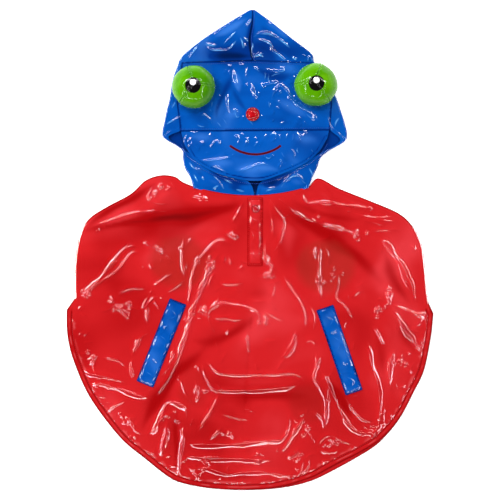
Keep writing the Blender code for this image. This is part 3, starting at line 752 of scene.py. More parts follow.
# Creases of the front: crest height, flank, then the places they run through.
longCreases = (
    (3.6, 6.5, (-21, 7), (-44, 14), (-52, 11), (-67, -4), (-79, -19), (-86, -40), (-89, -64), (-95, -89)),
    (3.9, 6.5, (-42, -2), (-54, -15), (-63, -32), (-69, -49), (-77, -68), (-85, -87), (-91, -107),
     (-97, -130), (-106, -154), (-118, -185), (-135, -211), (-145, -224)),
    (3.0, 7.0, (-143, -223), (-171, -216), (-207, -203), (-231, -200), (-244, -206)),
    (2.6, 8.0, (-48, -64), (-49, -78), (-63, -93), (-61, -108), (-54, -121), (-51, -127)),
    (3.0, 6.0, (-46, -50), (-31, -51), (-8, -50)),
    (3.2, 8.0, (-63, -94), (-46, -81), (-27, -82), (-8, -85), (7, -91), (13, -101), (13, -110), (6, -121)),
    (2.6, 6.0, (19, -91), (32, -97), (52, -108)), (2.4, 5.0, (17, -91), (24, -103), (19, -118)),
    (3.0, 7.0, (25, 22), (23, 4), (24, -15), (32, -24), (31, -34), (19, -40), (8, -41)),
    (2.8, 6.0, (27, 80), (36, 64), (48, 48), (50, 37), (46, 16), (34, -6)),
    (2.4, 6.0, (40, 80), (57, 66), (76, 52), (95, 43), (114, 37), (152, 29)),
    (2.4, 5.5, (79, 88), (81, 75), (88, 69), (103, 71), (128, 71)),
    (2.6, 5.0, (104, 13), (104, -22), (103, -45), (105, -64), (107, -84)),
    (2.4, 5.0, (133, -30), (131, -53), (128, -72), (141, -85), (157, -110)),
    (3.6, 6.0, (-100, 21), (-100, 4), (-101, -15), (-98, -32), (-98, -45)),
    (2.8, 6.0, (-97, -44), (-111, -55), (-126, -64)), (2.6, 7.0, (-8, 77), (-18, 56), (-28, 40)),
    (2.4, 6.0, (-240, 34), (-207, 45), (-176, 55), (-145, 58), (-120, 57)),
    (2.4, 5.0, (-247, -66), (-221, -39), (-202, -15), (-188, 1), (-173, 6), (-162, 1)),
    (2.4, 4.5, (-257, -69), (-231, -51), (-202, -34), (-188, -18), (-176, -4), (-160, -4)),
    (2.8, 6.5, (-199, -69), (-185, -59), (-171, -57), (-154, -58)),
    (2.6, 6.0, (-148, -54), (-135, -48), (-123, -39), (-114, -35)),
    (3.0, 8.0, (192, 22), (211, -3), (223, -22), (230, -43), (243, -68)),
    (3.0, 7.0, (210, -80), (230, -89), (252, -96), (268, -91)),
    (2.8, 6.5, (210, -82), (221, -101), (235, -125), (250, -138)),
    (2.4, 8.0, (48, -32), (57, -53), (72, -74), (81, -95), (82, -122)),
    (2.6, 8.0, (-259, -181), (-231, -187), (-207, -192), (-182, -200)),
    (2.6, 8.0, (-159, -276), (-145, -271), (-135, -254), (-126, -233), (-114, -228), (-99, -235),
     (-95, -247), (-97, -258)),
    (2.6, 7.0, (-123, -252), (-128, -278), (-136, -314)),
    (3.0, 7.0, (-96, -264), (-102, -297), (-106, -331), (-96, -340)),
    (2.6, 7.0, (-43, -209), (-56, -237), (-68, -256), (-79, -273)),
    (3.2, 6.0, (84, -200), (68, -185), (25, -186), (-27, -186), (-49, -182), (-61, -170), (-73, -167)),
    (2.8, 6.0, (-73, -166), (-67, -187), (-56, -206), (-42, -210), (1, -210), (49, -206), (75, -202)),
    (2.8, 7.0, (-100, -291), (-63, -290), (-27, -290), (25, -285), (49, -282), (59, -262)),
    (2.6, 6.0, (-100, -321), (-92, -310), (-63, -311), (1, -313), (40, -316)),
    (2.4, 6.0, (-100, -319), (-87, -328), (-63, -326), (-35, -335), (1, -331), (29, -333), (66, -339)),
    (3.0, 5.0, (70, -118), (61, -142), (45, -164)), (2.6, 4.5, (47, -163), (59, -154), (71, -130)),
    (3.0, 7.0, (105, -152), (99, -177), (96, -192), (106, -209), (113, -230), (112, -274)),
    (3.4, 7.0, (105, -174), (116, -199), (128, -225), (139, -249), (156, -268), (175, -273), (193, -278)),
    (2.8, 6.0, (141, -219), (156, -240), (168, -252), (187, -260)),
    (2.6, 9.0, (177, -134), (180, -166), (190, -197), (194, -225), (192, -276)),
    (2.8, 8.0, (219, -146), (209, -168), (208, -197), (213, -212)),
    (3.0, 6.0, (220, -103), (230, -120), (242, -132), (260, -159)),
    (2.6, 5.0, (264, -104), (266, -134), (260, -160)), (2.6, 6.0, (43, -308), (63, -278), (82, -249)),
    (2.4, 5.0, (-56, -99), (-52, -102), (-36, -102), (-23, -104), (-7, -104)),
    (2.6, 5.0, (-5, -122), (-5, -140), (-2, -159)),
    (2.6, 5.0, (183, -113), (191, -124), (197, -136), (203, -147)),
    (2.8, 5.5, (101, 72), (125, 69), (150, 66), (173, 63), (188, 61)),
)
shortCreases = (
    (2.0, 4.5, (-52, -33), (-60, -47), (-62, -61)), (2.2, 4.0, (98, 6), (98, -15)),
    (1.8, 5.0, (111, 8), (116, -7), (117, -30)), (1.8, 4.0, (-79, -7), (-78, -21)),
    (2.0, 4.0, (-40, 28), (-31, 22), (-20, 15)), (2.0, 3.5, (-23, 32), (-27, 24), (-18, 13)),
    (1.6, 4.0, (-92, 82), (-78, 79), (-64, 79)), (1.8, 4.0, (-20, -31), (-8, -23)),
    (1.8, 5.0, (31, -73), (36, -57), (33, -47)), (1.6, 4.0, (-40, -7), (-38, -21)),
    (1.6, 4.0, (-34, -10), (-29, -15), (-30, -24)), (1.8, 5.0, (88, -82), (95, -97), (95, -122)),
    (2.2, 4.5, (-142, 98), (-152, 83), (-149, 74), (-135, 69), (-114, 71)),
    (1.8, 4.0, (-129, 97), (-115, 92)), (2.2, 4.5, (-209, -83), (-197, -86), (-188, -96), (-179, -102)),
    (2.2, 5.0, (-190, -78), (-164, -89), (-145, -72), (-133, -70)), (2.0, 4.0, (-162, 15), (-146, 3)),
    (2.0, 3.5, (-139, 8), (-137, -5)), (1.8, 3.5, (-152, -17), (-147, -27), (-141, -23)),
    (1.8, 3.5, (-127, -10), (-115, -19)), (1.8, 4.0, (-210, -66), (-202, -79)),
    (1.8, 4.5, (-153, -82), (-154, -112)), (1.8, 4.0, (-146, -71), (-134, -91)),
    (2.0, 5.0, (104, 38), (135, 31), (170, 20)), (2.0, 4.0, (202, -65), (211, -84)),
    (2.0, 6.0, (152, 55), (187, 48), (218, 51)), (1.8, 6.0, (166, 46), (206, 35)),
    (1.8, 5.0, (188, 63), (208, 56)), (1.6, 5.0, (241, 9), (250, -2)),
    (1.8, 4.5, (222, -13), (238, -43), (246, -65)), (1.8, 4.5, (-220, -161), (-202, -163), (-183, -176)),
    (1.8, 3.5, (-246, -168), (-233, -160), (-234, -177)),
    (2.0, 4.5, (-213, -246), (-202, -233), (-183, -224)),
    (2.0, 4.5, (-189, -246), (-176, -259), (-171, -271), (-158, -277)),
    (1.8, 4.0, (-123, -265), (-125, -280), (-126, -293), (-124, -301)),
    (2.0, 4.0, (-82, -192), (-78, -213), (-80, -232)), (1.8, 3.5, (-76, -208), (-61, -213)),
    (2.0, 4.5, (-104, -192), (-97, -213), (-86, -232)), (2.4, 4.5, (-41, -264), (-54, -278), (-65, -286)),
    (2.4, 4.5, (-34, -266), (-27, -278), (-24, -286)), (2.2, 4.5, (-177, -160), (-164, -132), (-150, -124)),
    (2.0, 4.5, (-175, -191), (-180, -173)), (2.0, 4.5, (-115, -144), (-117, -170), (-134, -191)),
    (1.8, 4.0, (-172, -294), (-147, -304), (-142, -293)), (1.8, 3.5, (7, -168), (11, -183)),
    (1.8, 4.0, (92, -240), (108, -254), (111, -273)), (2.2, 4.0, (-33, -116), (-36, -128)),
    (2.0, 3.5, (252, -130), (258, -156)),
    (2.0, 5.0, (100, -297), (108, -283), (120, -278), (135, -284), (156, -293)),
    (1.8, 4.5, (100, -298), (120, -303), (139, -298)), (1.8, 4.5, (56, -315), (70, -304), (79, -301)),
    (2.2, 4.5, (71, -346), (77, -326), (80, -305)), (1.8, 3.5, (166, -259), (192, -282)),
    (1.8, 3.5, (176, -271), (194, -274)), (1.8, 3.5, (208, -242), (213, -258)),
    (1.8, 3.5, (225, -227), (230, -216), (236, -224)), (1.8, 4.5, (82, -137), (94, -136), (97, -146)),
    (1.8, 4.5, (79, -257), (87, -273), (95, -294)), (1.6, 4.0, (-1, -310), (15, -305), (24, -312)),
    (1.6, 3.5, (-84, -180), (-78, -173), (-74, -187)),
    (1.8, 3.5, (-79, -196), (-77, -204), (-83, -210), (-82, -218)),
    (1.6, 3.0, (-73, -206), (-73, -214), (-67, -214)), (1.6, 3.0, (-73, -218), (-79, -222), (-81, -230)),
    (1.4, 3.0, (-12, -239), (-1, -239), (10, -244)),
    (1.4, 3.0, (-44, -249), (-38, -246), (-23, -251), (1, -254)),
    (1.8, 3.5, (21, -97), (24, -104), (24, -113)), (1.6, 3.0, (152, -219), (166, -218)),
    (1.6, 3.0, (224, -160), (228, -168), (221, -175)),
    (1.8, 3.5, (102, -154), (99, -160), (101, -168), (106, -158)),
    (1.8, 3.5, (262, -120), (261, -135), (260, -153)), (1.6, 3.0, (257, -130), (256, -142)),
    (1.8, 3.5, (113, -201), (116, -210), (116, -218), (120, -230)),
    (1.8, 3.5, (-97, -264), (-101, -270), (-102, -278)), (1.6, 3.0, (-84, -250), (-87, -255), (-89, -265)),
    (1.8, 3.5, (-101, -319), (-95, -310)), (1.6, 3.0, (-75, -311), (-44, -311)),
    (1.6, 3.5, (79, -250), (78, -257), (75, -260)), (1.8, 3.5, (74, -260), (66, -270), (64, -277)),
    (1.6, 3.0, (59, -260), (55, -270), (54, -278)), (1.6, 3.0, (39, -303), (42, -295)),
    (1.8, 3.5, (55, -313), (64, -304), (73, -301)), (1.8, 3.5, (88, -311), (86, -324), (80, -336)),
    (1.6, 3.0, (90, -272), (95, -286), (93, -293)), (1.8, 3.5, (-141, 6), (-137, 1), (-133, 2), (-137, -5)),
    (1.6, 3.0, (-134, -10), (-134, -20)), (1.6, 3.0, (-129, -11), (-122, -10), (-119, -15)),
    (1.6, 3.0, (-162, -28), (-157, -24)), (1.8, 3.5, (-94, 12), (-95, 5)),
    (1.8, 3.5, (-97, -18), (-96, -30)), (1.6, 3.0, (-203, -18), (-195, -15)),
    (1.8, 3.5, (-206, -84), (-197, -84), (-190, -89), (-181, -93), (-182, -101), (-189, -94), (-195, -96)),
    (1.8, 3.5, (-239, -159), (-233, -161), (-235, -168), (-241, -174)),
    (1.8, 3.5, (-152, -69), (-157, -78), (-162, -87)), (1.6, 3.0, (-161, -130), (-166, -138), (-170, -150)),
    (1.8, 3.5, (-175, -160), (-178, -173), (-176, -183), (-175, -194)),
    (2.0, 4.0, (-114, -144), (-115, -158), (-121, -171), (-130, -185), (-136, -190)),
    (1.4, 3.0, (28, 62), (33, 48), (35, 35), (34, 17)), (1.8, 3.5, (99, 8), (98, -15)),
    (1.8, 3.5, (119, -47), (125, -40), (132, -36)), (1.6, 3.0, (147, -66), (147, -74)),
    (1.8, 3.5, (204, -66), (209, -79)),
    (2.0, 4.0, (219, -8), (228, -23), (236, -40), (242, -52), (246, -70), (249, -80)),
    (1.6, 3.0, (194, 17), (208, 2), (212, -5)), (1.6, 3.0, (92, 49), (98, 42)),
    (1.8, 3.0, (144, 58), (151, 58)), (1.6, 3.5, (182, 46), (219, 42)), (1.6, 3.5, (175, 30), (231, 30)),
    (1.6, 3.0, (-141, 89), (-146, 84)), (1.6, 3.0, (-139, 84), (-144, 78)),
    (1.6, 3.0, (-122, 104), (-108, 89)),
)
# Broad folds of the front: below 0 a hollow with painted shade, above it a swell with painted sheen; then
# how wide it is and where it runs.
frontBands = (
    (-0.9, 6, (-143, 99), (-176, 77), (-205, 63), (-231, 46), (-243, 35)),
    (0.5, 7, (-120, 90), (-152, 70), (-185, 53), (-210, 45), (-226, 38)),
    (-0.85, 9, (-190, 40), (-122, 49), (-89, 50), (-66, 55), (-30, 63), (-6, 71)),
    (-0.6, 5, (-250, 28), (-215, 36), (-160, 44)), (0.35, 8, (-95, 76), (-55, 78), (-30, 74)),
    (-0.5, 42, (-228, 12), (-205, -30)),
    (-1.0, 12, (30, 64), (76, 44), (113, 25), (138, 5), (163, -12), (194, -46)),
    (-0.6, 6, (60, 74), (90, 60), (125, 50), (170, 44)),
    (0.45, 7, (98, 88), (125, 77), (152, 70), (186, 63)),
    (-0.6, 4, (111, 97), (126, 79), (144, 68), (172, 60)), (0.7, 20, (40, 62), (55, 30), (58, -5)),
    (0.5, 12, (158, -50), (172, -74)), (0.3, 12, (172, 22), (200, 8)), (-0.3, 34, (222, 34), (232, -5)),
    (-0.7, 9, (204, -8), (214, -42), (236, -76)),
    (-1.1, 10, (-70, -150), (-89, -168), (-110, -183), (-128, -209), (-147, -237), (-162, -268)),
    (-0.9, 4.5, (-107, -240), (-112, -262), (-110, -305), (-113, -335)),
    (-0.75, 9, (-84, -136), (-60, -138), (-27, -125), (8, -100)),
    (0.35, 8, (-40, -197), (10, -198), (60, -195)),
    (-0.75, 8, (-40, -219), (10, -220), (50, -218), (88, -219)), (-0.6, 14, (60, -232), (95, -228)),
    (-1.1, 7, (119, -198), (135, -222), (152, -250)), (-0.7, 10, (222, -106), (234, -128), (246, -152)),
    (0.4, 9, (200, -108), (212, -136)), (-0.5, 8, (188, -122), (196, -150), (200, -185)),
    (-0.6, 7, (-60, -336), (-30, -338), (10, -340)), (0.3, 22, (-30, -95), (-10, -95)),
    (0.25, 26, (-200, -130), (-190, -165)), (-0.3, 16, (-215, -20), (-190, -75)),
    (-0.3, 2.5, (4, -78), (-3, -165), (-11, -290)), (-0.45, 9, (0, -66), (26, -64)),
    (0.5, 10, (-40, 18), (-60, 2)), (-0.8, 40, (-215, 14), (-40, 66)),
)
# Where the film of the front is finely crumpled.
crumpled = (
    (-142, 84), (-128, 94), (-137, 3), (-128, -14), (-99, 10), (-24, 23), (-77, 78), (-231, 26),
    (-186, -88), (-137, -68), (-240, -67), (52, 80), (99, 44), (164, 19), (132, -36), (103, -46),
    (206, -70), (193, -95), (17, -99), (172, 66), (-197, -94), (-237, -166), (-66, -213), (-102, -199),
    (-33, -275), (14, -308), (79, -264), (68, -308), (72, -335), (119, -293), (181, -278), (225, -166),
    (203, -86), (-70, -94), (-190, -254), (-121, -250), (-66, -322), (-90, -100), (-60, -20), (20, -40),
)


def nearHem(rng):
    # A place in the crinkled band just inside the hem, and the direction across it.
    rng.random()        # not used, but the draws after it count on it
    spot = hemRoute[rng.randrange(len(hemRoute))]
    inward = unit(np.array(cape["centre"]) - spot)
    x, y = spot + inward * rng.uniform(7, 24)
    return x, y, math.atan2(inward[1], inward[0]) + rng.choice((0.5, -0.5, 1.2))


def inCrumple(rng):
    x, y = crumpled[rng.randrange(len(crumpled))]
    return x + rng.gauss(0, 6), y + rng.gauss(0, 6), None


def spotIn(spanX, spanY, fits):
    # A picker of random places in a box, drawn again until one fits.
    def pick(rng):
        while True:
            x = rng.uniform(*spanX)
            y = rng.uniform(*spanY)
            if fits(x, y):
                return x, y, None
    return pick


hemRoute = smoothPath(cape["hem"], 4.0)
onCape = spotIn((-235, 235), (-320, 70), lambda x, y: math.hypot((x - 2) / 245, (y + 125) / 205) < 1)
strayCreases = scatterCreases(11, 50, nearHem, length=(9, 24), steep=(0.28, 0.42), half=(0.8, 1.6))
strayCreases += scatterCreases(12, 46, onCape, length=(14, 34), steep=(0.26, 0.4), half=(0.9, 1.8))
strayCreases += scatterCreases(15, 150, inCrumple, length=(4, 11), steep=(0.6, 0.85), half=(0.7, 1.2))
mainCreases = readCreases(longCreases, steep=0.5, size=0.2, swell=0.25, tip=0.3, pale=1.1)
mainCreases += readCreases(shortCreases, steep=0.5, size=0.22, swell=0.12, tip=0.3, pale=1.1)
backCreases = scatterCreases(16, 30, onCape, length=(35, 95), steep=(0.12, 0.22), half=(2.5, 5.0))
frontEdge = frontOutline()


def belowShoulders(y):
    # 1 where the cape's edge is hemmed, 0 along its neck and shoulders.
    return smoothStep(-y, 84, 90)


def frontRelief(x, y, gap):
    # Broad swell of the front, without its creases.
    neck = smoothStep(cape["neckHalf"] - np.abs(x - cape["neckX"]), 0, 26) * smoothStep(y, -10, 80)
    folds = 1.1 * lumps(x, y, 115, 21) + 0.8 * lumps(x, y, 52, 22)
    folds += 1.8 * bandField(x, y, frontBands, widen=1.5)
    swell = 1.5 * smoothStep(gap, 0, 110) * (1 - neck)
    return cape["neckLift"] * neck + swell + folds * smoothStep(gap, 3, 60)


def underStrips(x, y):
    # 1 in the open, less under a strip that is sewn on.
    share = np.ones(x.shape)
    for strip in (placket, weltLeft, weltRight):
        gap = gapTo(x, y, np.array([strip["top"], strip["foot"]], float))
        share *= 0.25 + 0.75 * smoothStep(gap - strip["width"] / 2, -3, 5)
    return share


def frontTop(x, y, creased=True):
    # Height of the front's upper side at any place.
    gap = edgeGap(x, y, frontEdge)
    rise = frontRelief(x, y, gap)
    if creased:
        calm = underStrips(x, y)
        rise += creaseHeight(x, y, mainCreases) * smoothStep(gap, 4, 15) * calm
        rise += creaseHeight(x, y, strayCreases) * smoothStep(gap, 5, 11) * calm
    hem = 0.3 * lumps(x, y, 6.5, 41) * bell(gap, cape["hemWidth"], 4.5)
    hem += 0.4 * (1 - smoothStep(gap, cape["hemWidth"] - 1.2, cape["hemWidth"]))
    hem -= 0.35 * bell(gap, cape["hemLine"], 0.8)
    rolled = 0.2 * bell(gap, cape["turning"], 1.5) - 0.35 * (1 - smoothStep(gap, 0, 2.0))
    height = cape["edgeTop"] + np.maximum(rise, 0.25 * rise) + lerp(rolled, hem, belowShoulders(y))
    return np.clip(height, cape["backThick"] + filmThick + layerGap, cape["highest"])


def makeFront():
    creases = mainCreases + strayCreases
    places, faces = fillOutline(frontEdge, 4.0, creases, rows=(0.0, 0.6, 1.3, 2.4), rowStep=1.9,
                                rings=(1.1, 2.4, 3.8, 5.5, 7.4, 8.6, 10.0))
    x, y = places.T
    top = frontTop(x, y)
    piece = shell("frontCloth", places, faces, top, top - filmThick, redFilm)
    gap = edgeGap(x, y, frontEdge)
    low = belowShoulders(y)
    line = np.maximum(bell(gap, cape["hemLine"], 0.8) * low, 1.2 * bell(gap, 0, 1.0))
    hemTone = 0.35 * low * (1 - smoothStep(gap, cape["hemWidth"] - 1, cape["hemWidth"] + 3))
    # Painted shade in the hollows and painted sheen on the swells of the broad folds, with a deeper hem band
    # and dark lines along the hem stitching and the edge.
    addRelief(piece, np.clip(bandField(x, y, frontBands) - hemTone - 1.2 * line, -2, 1))
    # Painted highlights along the hem's two folds, broken at random, and along the creases.
    fold = np.clip(0.5 + 1.6 * lumps(x, y, 15, 44), 0, 1) * bell(gap, 10.0, 0.6)
    fold += np.clip(0.3 + 1.6 * lumps(x, y, 13, 45), 0, 1) * bell(gap, cape["turning"], 0.6)
    crest = paintedHighlightLine(x, y, creases) * smoothStep(gap, 4, 10)
    addRelief(piece, np.maximum(crest, 0.5 * low * fold), "crest")
    declare(piece, "front_panel")
    print(f"front: {len(places)} points, {len(faces)} triangles a side")


def makeBack():
    outline = capeOutline(neckLine(cape["neckBackY"], cape["neckBackDeep"]))
    places, faces = fillOutline(outline, 6.0, backCreases, rows=(0.0, 1.8, 3.6, 6.0), rowStep=3.0,
                                rings=(1.2, 3.0, 6.0, 9.0))
    x, y = places.T
    gap = edgeGap(x, y, outline)
    # Its creases rise off the table into the air under the front.
    room = np.maximum(frontTop(x, y, False) - filmThick - cape["backThick"] - layerGap, 0)
    rise = np.minimum(creaseHeight(x, y, backCreases), 0.7 * room) * smoothStep(gap, 5, 16)
    top = cape["backThick"] + np.minimum(0.3 * belowShoulders(y), 0.15) * (gap < 4)
    piece = shell("backCloth", places, faces, top + rise, rise, redPlain)
    addRelief(piece, 0.4 * lumps(x, y, 60, 51) - 1.5 * bell(gap, 0, 1.2))
    declare(piece, "back_panel")
    print(f"back: {len(places)} points")


def stripOutline(strip, corner=1.5, inset=0.0):
    # The outline of a strip with cut corners, or of a line that runs at an inset inside it.
    top, foot = np.array([strip["top"], strip["foot"]], float)
    down = unit(foot - top)
    top = top + inset * down
    foot = foot - inset * down
    across = np.array([-down[1], down[0]]) * (strip["width"] / 2 - inset)
    corners = [top - across, top + across, foot + across, foot - across]
    outline = []
    for before, spot, after in zip(corners[-1:] + corners, corners, corners[1:] + corners[:1]):
        back = unit(before - spot) * corner
        ahead = unit(after - spot) * corner
        start = spot + ahead
        end = after + unit(spot - after) * corner
        count = int(np.hypot(*(end - start)) / 2.0)
        outline += [spot + back, spot + 0.3 * (back + ahead)]
        outline += [lerp(start, end, step / count) for step in range(count)]
    return np.array(outline)


def makeStrip(name, node, strip, material, slotName, threads):
    # A strip sewn flat on the front: padded between its stitches, drawn down at its edges.
    inset, seed = strip["inset"], strip["seed"]
    outline = stripOutline(strip)
    lines = readCreases(strip["creases"], steep=0.45, size=0.5, swell=0.1, tip=0.3, pale=1.2)
    places, faces = fillOutline(outline, 1.7, lines, rows=(0.0, 0.7, 1.6))
    x, y = places.T

    def top(x, y):
        gap = edgeGap(x, y, outline)
        padding = 0.35 + 0.4 * lumps(x, y, 15, seed) + 0.45 * ridges(x, y, 21, seed + 3)
        padding += creaseHeight(x, y, lines)
        height = frontTop(x, y) + stripGap + strip["thick"] + padding * smoothStep(gap, inset, inset + 3)
        return height - 0.5 * bell(gap, inset, 0.7) - 0.35 * (1 - smoothStep(gap, 0, 0.9))

    piece = shell(name, places, faces, top(x, y), frontTop(x, y) + stripGap, material)
    gap = edgeGap(x, y, outline)
    seam = bell(gap, inset, 0.8) + 1 - smoothStep(gap, 0, 1.2)
    addRelief(piece, np.clip(0.2 + 0.5 * lumps(x, y, 22, seed + 5) - strip["dark"] * seam, -2, 1))
    # A painted highlight along each crease of the strip.
    addRelief(piece, paintedHighlightLine(x, y, lines), "crest")
    declare(piece, node)
    corners = stripOutline(strip, corner=0.4, inset=inset)
    route = smoothPath(np.vstack([corners, corners[:1]])[::3], 2.9)
    stitchRow(f"{name}Stitches", route, top, threads, slotName, pitch=2.9, length=2.1, wide=0.26)
    return top


makeFront()
makeBack()
hemStitches = offsetPath(smoothPath(cape["hem"], 3.1), -cape["hemInset"] - cape["hemWidth"])
hemInset = cape["footInset"] * smoothStep(-hemStitches[:, 1], 225, 295) * bell(hemStitches[:, 0], 122, 75)
stitchRow("hemStitches", drawnIn(hemStitches, hemInset)[2:-2], frontTop, redThread, "red_vinyl")
placketTop = makeStrip("placketStrip", "placket", placket, redPlain, "red_vinyl", redThread)
makeStrip("weltLeft", "welt_left", weltLeft, blueFilm, "blue_vinyl", blueThread)
makeStrip("weltRight", "welt_right", weltRight, blueFilm, "blue_vinyl", blueThread)
print("strips and stitches made")


hood = {"centreX": 4.0, "top": 4.2, "foldRadius": 2.1, "backBow": -3.2, "frontBow": -3.2,
        "browFirst": 6, "browLast": 11, "peak": 16, "crownY": 284.0, "rimHem": 6.0, "tuck": 4.0, "lap": 1.5}
visor = {"topLeft": (-103.2, 178.0), "topRight": (118.3, 179.6), "raise": 1.5, "run": 22.0, "hem": 4.2,
         "edge": ((-100, 164), (-95, 152), (-79, 131), (-50, 115), (-22, 107), (4, 103.5), (30, 107),
                  (80, 128), (103, 147), (115.5, 167))}
# A row for each section of a hood half, from the neckline to the peak: where it leaves the centre
# seam on the back layer (y), where it turns round at the outer edge (x, y), and where its front
# edge is (x, y).
hoodColumns = {"back": slice(0, 1), "outer": slice(1, 3), "front": slice(3, 5)}
hoodLeftRows = (
    (84.3, -84.5, 96.5, 7.6, 82.4), (98, -89.5, 109, -2, 102), (113, -97.5, 123, -41, 117),
    (128, -100.5, 137, -74, 134), (143, -103, 151, -97, 149), (158, -128, 167, -122, 168),
    (172, -131.5, 177, -104, 178.5), (190, -128.5, 191, -105, 192), (206, -125.5, 206, -107, 206),
    (230, -120, 229, -109, 229), (256, -116, 255, -105, 256), (279, -108, 278, -101.5, 280),
    (284, -106, 284, 3.85, 284), (296, -97, 295, 1.35, 296), (317, -69, 317, -0.65, 317),
    (340, -32, 341, 3.35, 341), (360, -1.5, 359, 3.85, 360),
)
hoodRightRows = (
    (84.3, 87.5, 96.5, 8.4, 82.4), (98, 94, 110, 15.5, 101), (113, 100.5, 123, 45, 112),
    (128, 106, 138, 80, 131), (143, 119, 149, 109, 147), (157, 141, 162, 135, 163.5),
    (172, 145.5, 173, 119, 180), (190, 142, 190, 120, 193), (206, 137, 206, 121, 207),
    (230, 129, 229, 121, 229), (256, 115, 255, 108, 256), (279, 98.5, 278, 92.5, 280),
    (284, 95.5, 284, 4.15, 284), (296, 91.5, 295, 1.65, 296), (317, 63, 317, -0.35, 317),
    (340, 33, 341, 3.65, 341), (360, 8.5, 359, 4.15, 360),
)
# Creases of the hood and of its visor, as those of the front.
crownCreases = (
    (1.2, 3.5, (-20, 328), (-30, 317), (-40, 307)),
    (1.5, 4.5, (-70, 310), (-59, 299.5), (-48, 298.5), (-33.5, 299), (-26, 306), (-19, 315)),
    (1.0, 3.0, (-69, 309.5), (-54.5, 306), (-48, 309)), (1.0, 3.0, (-16, 319.5), (-12, 311), (-11, 300.5)),
    (0.8, 2.5, (-7, 311), (-9, 301.5)), (0.9, 2.8, (-12, 320.5), (-6, 315), (-2, 311)),
    (1.0, 3.5, (-78, 306), (-86, 294), (-93.5, 286)), (1.2, 4.0, (2, 347), (-2, 339.5), (-9, 332)),
    (1.6, 4.5, (3, 318.5), (13, 323), (24, 324), (29, 324), (43, 316), (55.5, 307), (64, 298.5)),
    (1.8, 5.0, (6, 315), (20, 313), (31, 307), (33, 298.5), (41, 293), (48, 287), (57.5, 279.5),
     (64, 276.5)),
    (1.0, 3.2, (64, 292), (66, 285), (71, 289)), (0.8, 2.5, (78.5, 293), (83, 290)),
    (0.8, 2.5, (88, 293), (87, 282)), (0.8, 2.5, (89, 292), (93, 282)),
    (1.2, 3.5, (2, 312), (5, 307), (3, 298.5), (4, 291), (9, 290), (14, 293), (22, 295)),
    (1.0, 3.0, (5, 290), (14, 291), (22, 288)),
    (1.3, 4.0, (16.5, 271), (26, 270), (31, 267), (47, 267), (51, 270), (45, 274), (39, 276.5)),
    (1.1, 3.2, (22, 269), (23, 260.5), (21, 253)), (1.0, 3.0, (26, 268), (28, 260.5), (27, 254), (32, 253)),
    (1.0, 3.2, (31, 257.5), (35.5, 262), (51, 265)), (0.9, 2.8, (6, 276.5), (9, 271), (15.5, 267)),
)
browCreases = (
    (0.8, 2.5, (-32, 269), (-29, 260.5)), (1.6, 4.5, (-25, 273), (-23, 258.5), (-18, 243)),
    (1.3, 3.5, (-4, 275), (-5, 265), (-5, 256)), (1.6, 4.5, (1, 253), (6.5, 232), (10.5, 218.5)),
    (1.5, 4.5, (-32, 237.5), (-33.5, 222.5), (-31, 212), (-27, 201.5), (-24, 197.5)),
    (0.9, 2.6, (-27, 206), (-23, 211), (-19, 205), (-14, 210)),
    (0.8, 2.4, (-24, 214), (-20, 199), (-12, 203)), (0.9, 3.0, (-56.5, 224), (-57.5, 212.5)),
    (0.9, 2.8, (-63, 213), (-57.5, 210), (-59.5, 203.5)),
    (1.1, 3.2, (-74.5, 200.5), (-68, 202.5), (-62, 196.5), (-57.5, 191), (-58.5, 187)),
    (1.0, 3.0, (-79.5, 189), (-74.5, 185), (-64, 185)), (0.9, 2.8, (-51, 192), (-47, 189), (-42, 182.5)),
    (0.9, 2.8, (-44, 198.5), (-39.5, 195.5), (-33.5, 186)),
    (1.4, 4.0, (12, 240.5), (20, 245), (29, 248), (45, 252)), (0.9, 2.8, (12.5, 237.5), (13, 230)),
    (0.9, 2.8, (-5, 198.5), (1.5, 191), (6.5, 183.5)),
    (2.0, 5.0, (31, 219.5), (33.5, 231), (38.5, 240.5), (46, 245), (53.5, 238.5), (58.5, 232), (57.5, 228),
     (66, 220.5), (80.5, 208), (90, 198.5), (112, 189)),
    (1.3, 3.6, (59.5, 223.5), (85, 209), (97.5, 198.5)), (0.8, 2.6, (43, 229), (43, 234.5), (50, 238.5)),
    (0.9, 2.8, (27, 223.5), (29, 217.5), (29, 212)), (0.8, 2.6, (39.5, 223.5), (47, 219.5)),
    (0.8, 2.6, (36.5, 214), (46, 211.5)), (0.8, 2.6, (52, 217.5), (59.5, 213)),
    (1.2, 4.0, (69, 199.5), (78.5, 196)), (0.8, 2.4, (31, 191), (36.5, 196.5)),
    (0.9, 2.6, (43, 187), (53.5, 193)), (0.7, 2.2, (73, 188), (78, 188)),
)
